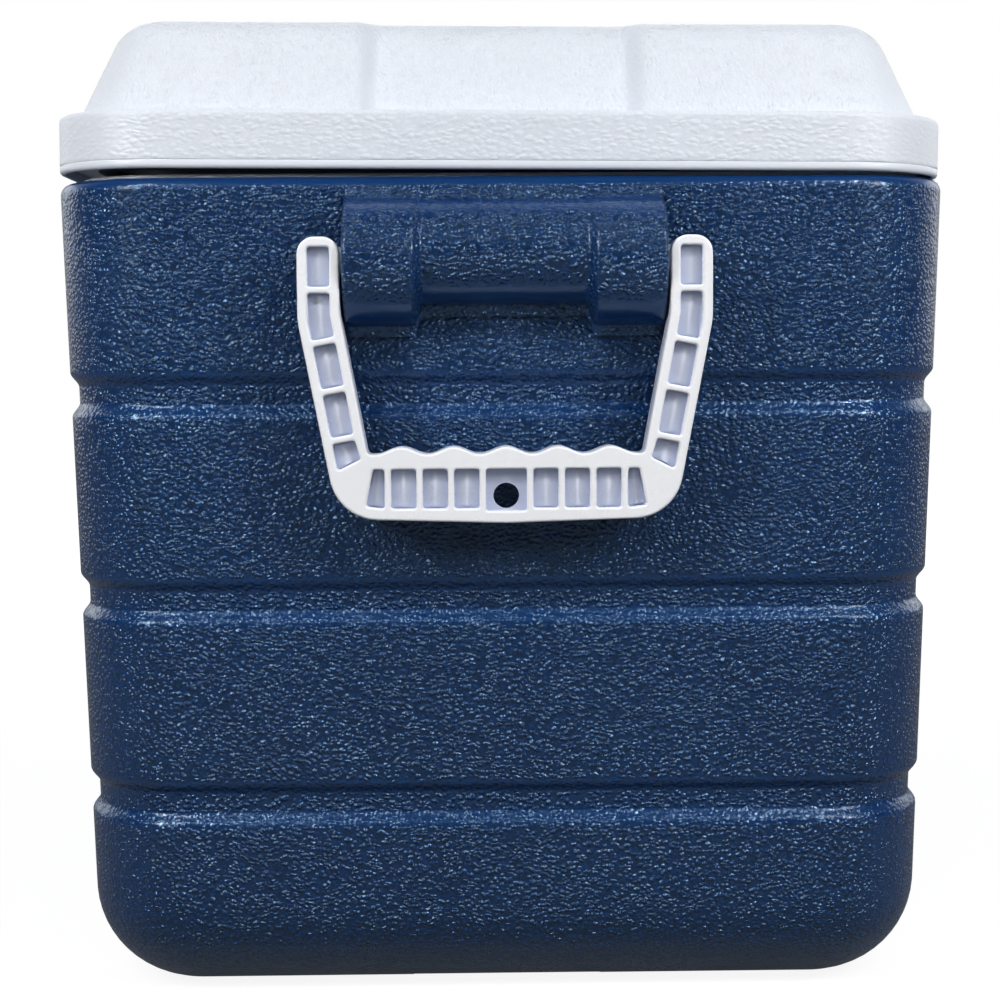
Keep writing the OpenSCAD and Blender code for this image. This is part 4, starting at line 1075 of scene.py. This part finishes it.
def makeBlueShell():
    v = blueShell
    f = Finish("blueShell", {"Specular IOR Level": 1.0, "Specular Tint": (0.46, 0.74, 1.0, 1.0),
                             "Coat Weight": 0.25, "Coat Roughness": 0.2})
    t = f.tree
    zones = f.use(smoothZones)
    grain = f.use(leatherGrain, Cells_per_metre=v["cells"], Stretch=(0.85, 0.85, 1.15))
    marks = f.use(wear, Patch_scale=9.0, Scratch_scale=42.0)
    moulded = f.use(mouldedSkin, Fineness=1500.0, Ripple=22.0)
    creaseShade = times(t, grain["Crease"], zones["Grain"])
    colour = f.blend(times(t, marks["Patches"], 0.35), v["base"], v["light"])
    # the creases are painted darker: painted shade
    colour = f.blend(times(t, creaseShade, 0.9), colour, v["creaseShade"])
    # the foot of the chest pales: a painted reflection of the pale floor, mottled with dust; pale
    # scratches take the same colour
    low = mapped(t, parted(t, f.where)["Z"], v["fadeLow"], v["fadeHigh"], 1.0, 0.0)
    dustAndFloorSheen = times(t, low, mapped(t, marks["Dust"], 0.0, 1.0, 0.35, 0.75))
    scratched = times(t, marks["Scratches"], 0.35)
    colour = f.blend(larger(t, dustAndFloorSheen, scratched), colour, v["dustAndFloorSheen"])
    f.colour(colour)
    rough = plus(t, times(t, creaseShade, 0.10),
                     mapped(t, moulded["Tone"], 0.0, 1.0, v["rough"] - 0.03, v["rough"] + 0.04))
    f.rough(plus(t, rough, times(t, dustAndFloorSheen, 0.2), clamp=True))
    height = times(t, grain["Height"], zones["Grain"])
    fine = times(t, moulded["Height"], 0.12)
    f.bump(plus(t, height, fine), v["grainDepth"])
    return f.material


whiteLid = {
    "base": (0.70, 0.735, 0.80), "creaseShade": (0.60, 0.64, 0.715), "scuff": (0.55, 0.56, 0.58),
    "rough": 0.38, "grainDepth": 0.00024, "cells": 520.0, "bandTop": 3.4, "brimTop": 24.2,
    "brimGrain": 1.15, "crownGrain": 2.3,
}


def makeWhiteLid():
    v = whiteLid
    f = Finish("whiteLid", {"Specular IOR Level": 0.42})
    t = f.tree
    brim = f.use(leatherGrain, Cells_per_metre=v["cells"] * 0.8,
                 Stretch=(0.6, 0.6, 1.25), Fine_share=0.9)
    crown = f.use(leatherGrain, Cells_per_metre=v["cells"],
                  Stretch=(1.15, 1.15, 0.7), Fine_share=0.9)
    moulded = f.use(mouldedSkin, Fineness=1600.0, Ripple=26.0)
    marks = f.use(wear, Patch_scale=7.0, Scratch_scale=40.0)
    at, facing = parted(t, f.where), parted(t, f.place.outputs["Normal"])
    # height above the brim's lower edge, along the lid's small opening angle
    tilt, brimTop = math.radians(lid["ajar"]), v["brimTop"]
    rise = plus(t, at["Z"], times(t, at["X"], math.sin(tilt)))
    rise = minus(t, rise, (lid["lowZ"] + hinge["x"] * math.sin(tilt)) * mm)
    band = mapped(t, rise, (v["bandTop"] - 0.4) * mm, (v["bandTop"] + 0.5) * mm)
    high = mapped(t, rise, (brimTop - 2) * mm, (brimTop + 1) * mm)
    flatTop = mapped(t, facing["Z"], 0.93, 0.99)
    onBrim = times(t, minus(t, 1.0, high), band)
    ledge = times(t, flatTop, mapped(t, rise, (brimTop + 6) * mm, (brimTop + 4) * mm))
    corner = unsigned(t, times(t, facing["X"], facing["Y"]))
    keep = times(t, mapped(t, corner, 0.1, 0.5, 1.0, 0.35), minus(t, 1.0, ledge))
    shareBrim, shareCrown = times(t, onBrim, keep), times(t, high, keep)
    creaseShade = plus(t, times(t, brim["Crease"], shareBrim),
                      times(t, crown["Crease"], times(t, shareCrown, 0.7)))
    # the creases are painted a little darker: painted shade
    colour = f.blend(times(t, creaseShade, 0.5), v["base"], v["creaseShade"])
    colour = f.blend(times(t, marks["Scratches"], 0.18), colour, v["scuff"])
    colour = f.blend(times(t, marks["Patches"], 0.06), colour, v["scuff"])
    f.colour(colour)
    tone = mapped(t, moulded["Tone"], 0.0, 1.0, v["rough"] - 0.04, v["rough"] + 0.05)
    f.rough(plus(t, tone, times(t, creaseShade, 0.12), clamp=True))
    height = plus(t, times(t, brim["Height"], times(t, shareBrim, v["brimGrain"])),
                  times(t, crown["Height"], times(t, shareCrown, v["crownGrain"])))
    f.bump(plus(t, height, times(t, moulded["Height"], 0.2)), v["grainDepth"])
    return f.material


def smoothPlastic(name, v):
    # the pocket floors, which lie close to the handles' middle plane, are tinted bluish and darker:
    # painted shade
    f = Finish(name, {"Specular IOR Level": v.get("specular", 0.5)})
    t = f.tree
    moulded = f.use(mouldedSkin, Fineness=1400.0, Ripple=28.0)
    marks = f.use(wear, Patch_scale=12.0, Scratch_scale=50.0)
    colour = f.blend(times(t, moulded["Tone"], 0.5), v["base"], v["shade"])
    colour = f.blend(times(t, marks["Scratches"], v.get("scratched", 0.2)), colour, v["mark"])
    if "hollowShade" in v:
        off = minus(t, unsigned(t, parted(t, f.where)["Y"]), pivot["y"] * mm)
        inside = mapped(t, unsigned(t, off), 0.0022, 0.0068, 1.0, 0.0)
        colour = f.blend(inside, colour, v["hollowShade"])
    dust = times(t, marks["Patches"], times(t, marks["Dust"], v.get("dust", 0.1)))
    f.colour(f.blend(dust, colour, v["mark"]))
    tone = mapped(t, moulded["Tone"], 0.0, 1.0, v["rough"] - 0.03, v["rough"] + 0.05)
    f.rough(plus(t, tone, times(t, marks["Dust"], 0.05), clamp=True))
    f.bump(moulded["Height"], v.get("depth", 0.00004))
    return f.material


paleWhite = {"base": (0.74, 0.76, 0.80), "shade": (0.70, 0.72, 0.77), "mark": (0.45, 0.45, 0.45)}
plastics = {
    "white_handle": {
        "base": (0.90, 0.91, 0.94), "shade": (0.86, 0.875, 0.91), "mark": (0.5, 0.5, 0.5),
        "hollowShade": (0.55, 0.60, 0.76), "rough": 0.26, "dust": 0.05, "scratched": 0.12,
    },
    "white_liner": {
        "base": (0.78, 0.79, 0.80), "shade": (0.74, 0.755, 0.77), "mark": (0.46, 0.46, 0.44),
        "rough": 0.3,
    },
    "white_hinge": {**paleWhite, "rough": 0.36},
    "white_fitting": {**paleWhite, "rough": 0.34},
    "white_rim": {
        "base": (0.72, 0.74, 0.78), "shade": (0.68, 0.70, 0.74), "mark": (0.34, 0.31, 0.27),
        "rough": 0.38, "dust": 0.3, "scratched": 0.35,
    },
    "black_plastic": {
        "base": (0.022, 0.022, 0.025), "shade": (0.03, 0.03, 0.034), "mark": (0.13, 0.12, 0.11),
        "rough": 0.48, "dust": 0.45, "specular": 0.4,
    },
    "gasket": {
        "base": (0.15, 0.155, 0.165), "shade": (0.12, 0.125, 0.135), "mark": (0.3, 0.3, 0.3),
        "rough": 0.72, "dust": 0.2, "specular": 0.25, "depth": 0.00012,
    },
    "seal_rubber": {
        "base": (0.02, 0.02, 0.021), "shade": (0.028, 0.028, 0.03), "mark": (0.12, 0.12, 0.12),
        "rough": 0.6, "dust": 0.25, "specular": 0.3,
    },
}


def makeTyreRubber():
    v = {"base": (0.021, 0.021, 0.023), "worn": (0.05, 0.049, 0.047), "dust": (0.16, 0.145, 0.125)}
    f = Finish("tyre", {"Specular IOR Level": 0.3})
    t = f.tree
    moulded = f.use(mouldedSkin, Fineness=1100.0, Ripple=60.0)
    marks = f.use(wear, Patch_scale=16.0, Scratch_scale=70.0)
    colour = f.blend(moulded["Tone"], v["base"], v["worn"])
    f.colour(f.blend(times(t, marks["Patches"], times(t, marks["Dust"], 0.5)),
                     colour, v["dust"]))
    f.rough(mapped(t, marks["Dust"], 0.0, 1.0, 0.62, 0.8))
    f.bump(moulded["Height"], 0.00018)
    return f.material


def makeSteel():
    v = {"base": (0.56, 0.565, 0.575), "dull": (0.40, 0.405, 0.41), "rust": (0.20, 0.10, 0.045)}
    f = Finish("steel", {})
    t = f.tree
    stretched = fed(t, "ShaderNodeMapping", {"Vector": f.where, "Scale": (2200, 260, 260)})
    rings = noise(t, stretched.outputs[0], 1.0, 2, 0.6)
    marks = f.use(wear, Patch_scale=60.0, Scratch_scale=300.0)
    rust = times(t, marks["Patches"], times(t, marks["Dust"], 0.25))
    f.colour(f.blend(rust, f.blend(rings, v["base"], v["dull"]), v["rust"]))
    t.links.new(mapped(t, rust, 0.0, 0.5, 1.0, 0.4), f.shader.inputs["Metallic"])
    f.rough(mapped(t, rings, 0.3, 0.7, 0.28, 0.42))
    f.bump(rings, 0.00003)
    return f.material


def makeFoam():
    v = {"base": (0.72, 0.56, 0.25), "hollowShade": (0.50, 0.36, 0.13)}
    f = Finish("foam", {"Specular IOR Level": 0.1})
    t = f.tree
    cells = fed(t, "ShaderNodeTexVoronoi", {"Vector": f.where, "Scale": 1300})
    pits = mapped(t, cells.outputs["Distance"], 0.1, 0.55)
    # the pits are painted darker: painted shade in the hollows
    f.colour(f.blend(pits, v["base"], v["hollowShade"]))
    f.rough(mapped(t, pits, 0.0, 1.0, 0.85, 0.97))
    f.bump(minus(t, 1.0, pits), 0.0004)
    return f.material


finishes = {name: smoothPlastic(name, values) for name, values in plastics.items()}
finishes.update({"blue_shell": makeBlueShell(), "white_lid": makeWhiteLid(),
                 "tyre": makeTyreRubber(), "steel": makeSteel(), "foam": makeFoam()})
slotOf = {row["node"]: row["material_slot"] for row in frame["record"]["subparts"]}
for node, piece in frame["nodes"].items():
    for held in piece.material_slots:
        held.material = finishes[slotOf[node]]
dressed = {
    "blue_shell": (chestShell, drainPad), "white_lid": (lidTop, lidLip),
    "white_handle": (bailNear, bailFar), "white_liner": (tubSkin,), "tyre": (tyreLeft, tyreRight),
}
for finish, pieces in dressed.items():
    for piece in pieces:
        piece.data.materials.clear()
        piece.data.materials.append(finishes[finish])
print("finishes:", len(finishes))

studio = {
    "floorHalf": 6.0, "floorTone": 0.16,
    "floorGlow": 0.9, "glowFrom": 0.4, "glowTo": 1.3,     # the glow turns plain white between these
    "mirrored": 0.08,            # how much of the glow glossy pieces mirror
    "world": 0.07, "worldBehind": 0.48, "worldMirrored": 0.5, "darkMirrored": 0.02,
    "tint": (0.93, 0.96, 1.0, 1),
}


def makeFloor():
    h = studio["floorHalf"]
    mesh = bpy.data.meshes.new("floor")
    mesh.from_pydata([(-h, -h, 0), (h, -h, 0), (h, h, 0), (-h, h, 0)], [], [(0, 1, 2, 3)])
    inScene("floor", mesh)
    material = bpy.data.materials.new("paleFloor")
    material.use_nodes = True
    tree = material.node_tree
    tree.nodes.clear()
    path = tree.nodes.new("ShaderNodeLightPath").outputs
    place = tree.nodes.new("ShaderNodeTexCoord").outputs["Object"]
    mirrored = times(tree, path["Is Glossy Ray"], studio["mirrored"])
    seen = larger(tree, path["Is Camera Ray"], larger(tree, mirrored, path["Is Transmission Ray"]))
    # the floor glows a little round the chest and is plain white further off
    away = fed(tree, "ShaderNodeVectorMath", {0: place}, operation="LENGTH").outputs["Value"]
    level = mapped(tree, away, studio["glowFrom"], studio["glowTo"], studio["floorGlow"], 1.0)
    matt = fed(tree, "ShaderNodeBsdfDiffuse", {"Color": (studio["floorTone"],) * 3 + (1,)})
    glow = fed(tree, "ShaderNodeEmission", {"Strength": times(tree, seen, level)})
    total = fed(tree, "ShaderNodeAddShader", {0: matt.outputs[0], 1: glow.outputs[0]})
    fed(tree, "ShaderNodeOutputMaterial", {"Surface": total.outputs[0]})
    mesh.materials.append(material)


def makeWorld():
    world = bpy.data.worlds.new("studio")
    bpy.context.scene.world = world
    world.use_nodes = True
    tree = world.node_tree
    tree.nodes.clear()
    path = tree.nodes.new("ShaderNodeLightPath").outputs
    away = parted(tree, tree.nodes.new("ShaderNodeTexCoord").outputs["Generated"])["Y"]
    seen = larger(tree, path["Is Camera Ray"],
                  larger(tree, path["Is Glossy Ray"], path["Is Transmission Ray"]))
    # the studio is darker on the camera's side of the room
    lit = mapped(tree, away, -0.35, 0.25, studio["world"], studio["worldBehind"])
    shade = mapped(tree, away, -0.1, 0.7, studio["darkMirrored"], studio["worldMirrored"])
    shade = larger(tree, path["Is Camera Ray"], shade)
    soft = fed(tree, "ShaderNodeBackground", {"Color": studio["tint"], "Strength": lit})
    white = fed(tree, "ShaderNodeBackground", {"Color": (1, 1, 1, 1), "Strength": shade})
    values = {"Fac": seen, 1: soft.outputs[0], 2: white.outputs[0]}
    choice = fed(tree, "ShaderNodeMixShader", values)
    fed(tree, "ShaderNodeOutputWorld", {"Surface": choice.outputs[0]})


def areaLamp(name, place, target, size, power):
    lamp = bpy.data.lights.new(name, "AREA")
    lamp.shape, lamp.size, lamp.size_y = "RECTANGLE", size[0], size[1]
    lamp.energy = power
    stand = inScene(name, lamp)
    stand.location = place
    stand.rotation_euler = (Vector(target) - Vector(place)).to_track_quat("-Z", "Y").to_euler()


lamps = {
    "leftBox": ((-0.62, -0.80, 0.60), (-0.08, -0.3, 0.20), (0.14, 0.30), 3.5),
    "rightBox": ((0.62, -0.80, 0.60), (0.08, -0.3, 0.20), (0.14, 0.30), 3.7),
    "leftTop": ((-0.55, -1.15, 1.25), (-0.10, -0.3, 0.2), (0.15, 0.15), 4.2),
    "rightTop": ((0.55, -1.15, 1.25), (0.10, -0.3, 0.2), (0.15, 0.15), 4.5),
    "topBox": ((0.0, 0.1, 1.9), (0, 0.1, 0.3), (0.9, 0.9), 0.3),
    "frontFill": ((0.0, -2.6, 1.5), (0, -0.2, 0.25), (1.6, 1.0), 1.2),
    "backBox": ((0.0, 2.3, 1.4), (0, 0.1, 0.2), (2.0, 1.0), 13),
    "leftSide": ((-2.2, 1.6, 1.0), (0, 0.1, 0.2), (1.8, 1.2), 7),
    "rightSide": ((2.2, 1.6, 1.0), (0, 0.1, 0.2), (1.8, 1.2), 7),
}
makeFloor()
makeWorld()
for name, (place, target, size, power) in lamps.items():
    areaLamp(name, place, target, size, power)

shot = {
    "place": (-0.015562, -1.135276, 0.275779), "yaw": 0.907, "pitch": -4.206, "roll": -0.376,
    "lens": 72.65, "sensor": 36,
}


def makeCamera():
    yaw, pitch, roll = (math.radians(shot[k]) for k in ("yaw", "pitch", "roll"))
    level = math.cos(pitch)
    ahead = Vector((math.sin(yaw) * level, math.cos(yaw) * level, math.sin(pitch)))
    right = Vector((math.cos(yaw), -math.sin(yaw), 0))
    up = right.cross(ahead)
    across = right * math.cos(roll) + up * math.sin(roll)
    upward = up * math.cos(roll) - right * math.sin(roll)
    data = bpy.data.cameras.new("camera")
    data.lens, data.sensor_width, data.sensor_fit = shot["lens"], shot["sensor"], "HORIZONTAL"
    camera = inScene("camera", data)
    turn = Matrix((across, upward, -ahead)).transposed().to_4x4()
    camera.matrix_world = Matrix.Translation(shot["place"]) @ turn
    bpy.context.scene.camera = camera


makeCamera()
bpy.context.scene.view_settings.view_transform = "Standard"
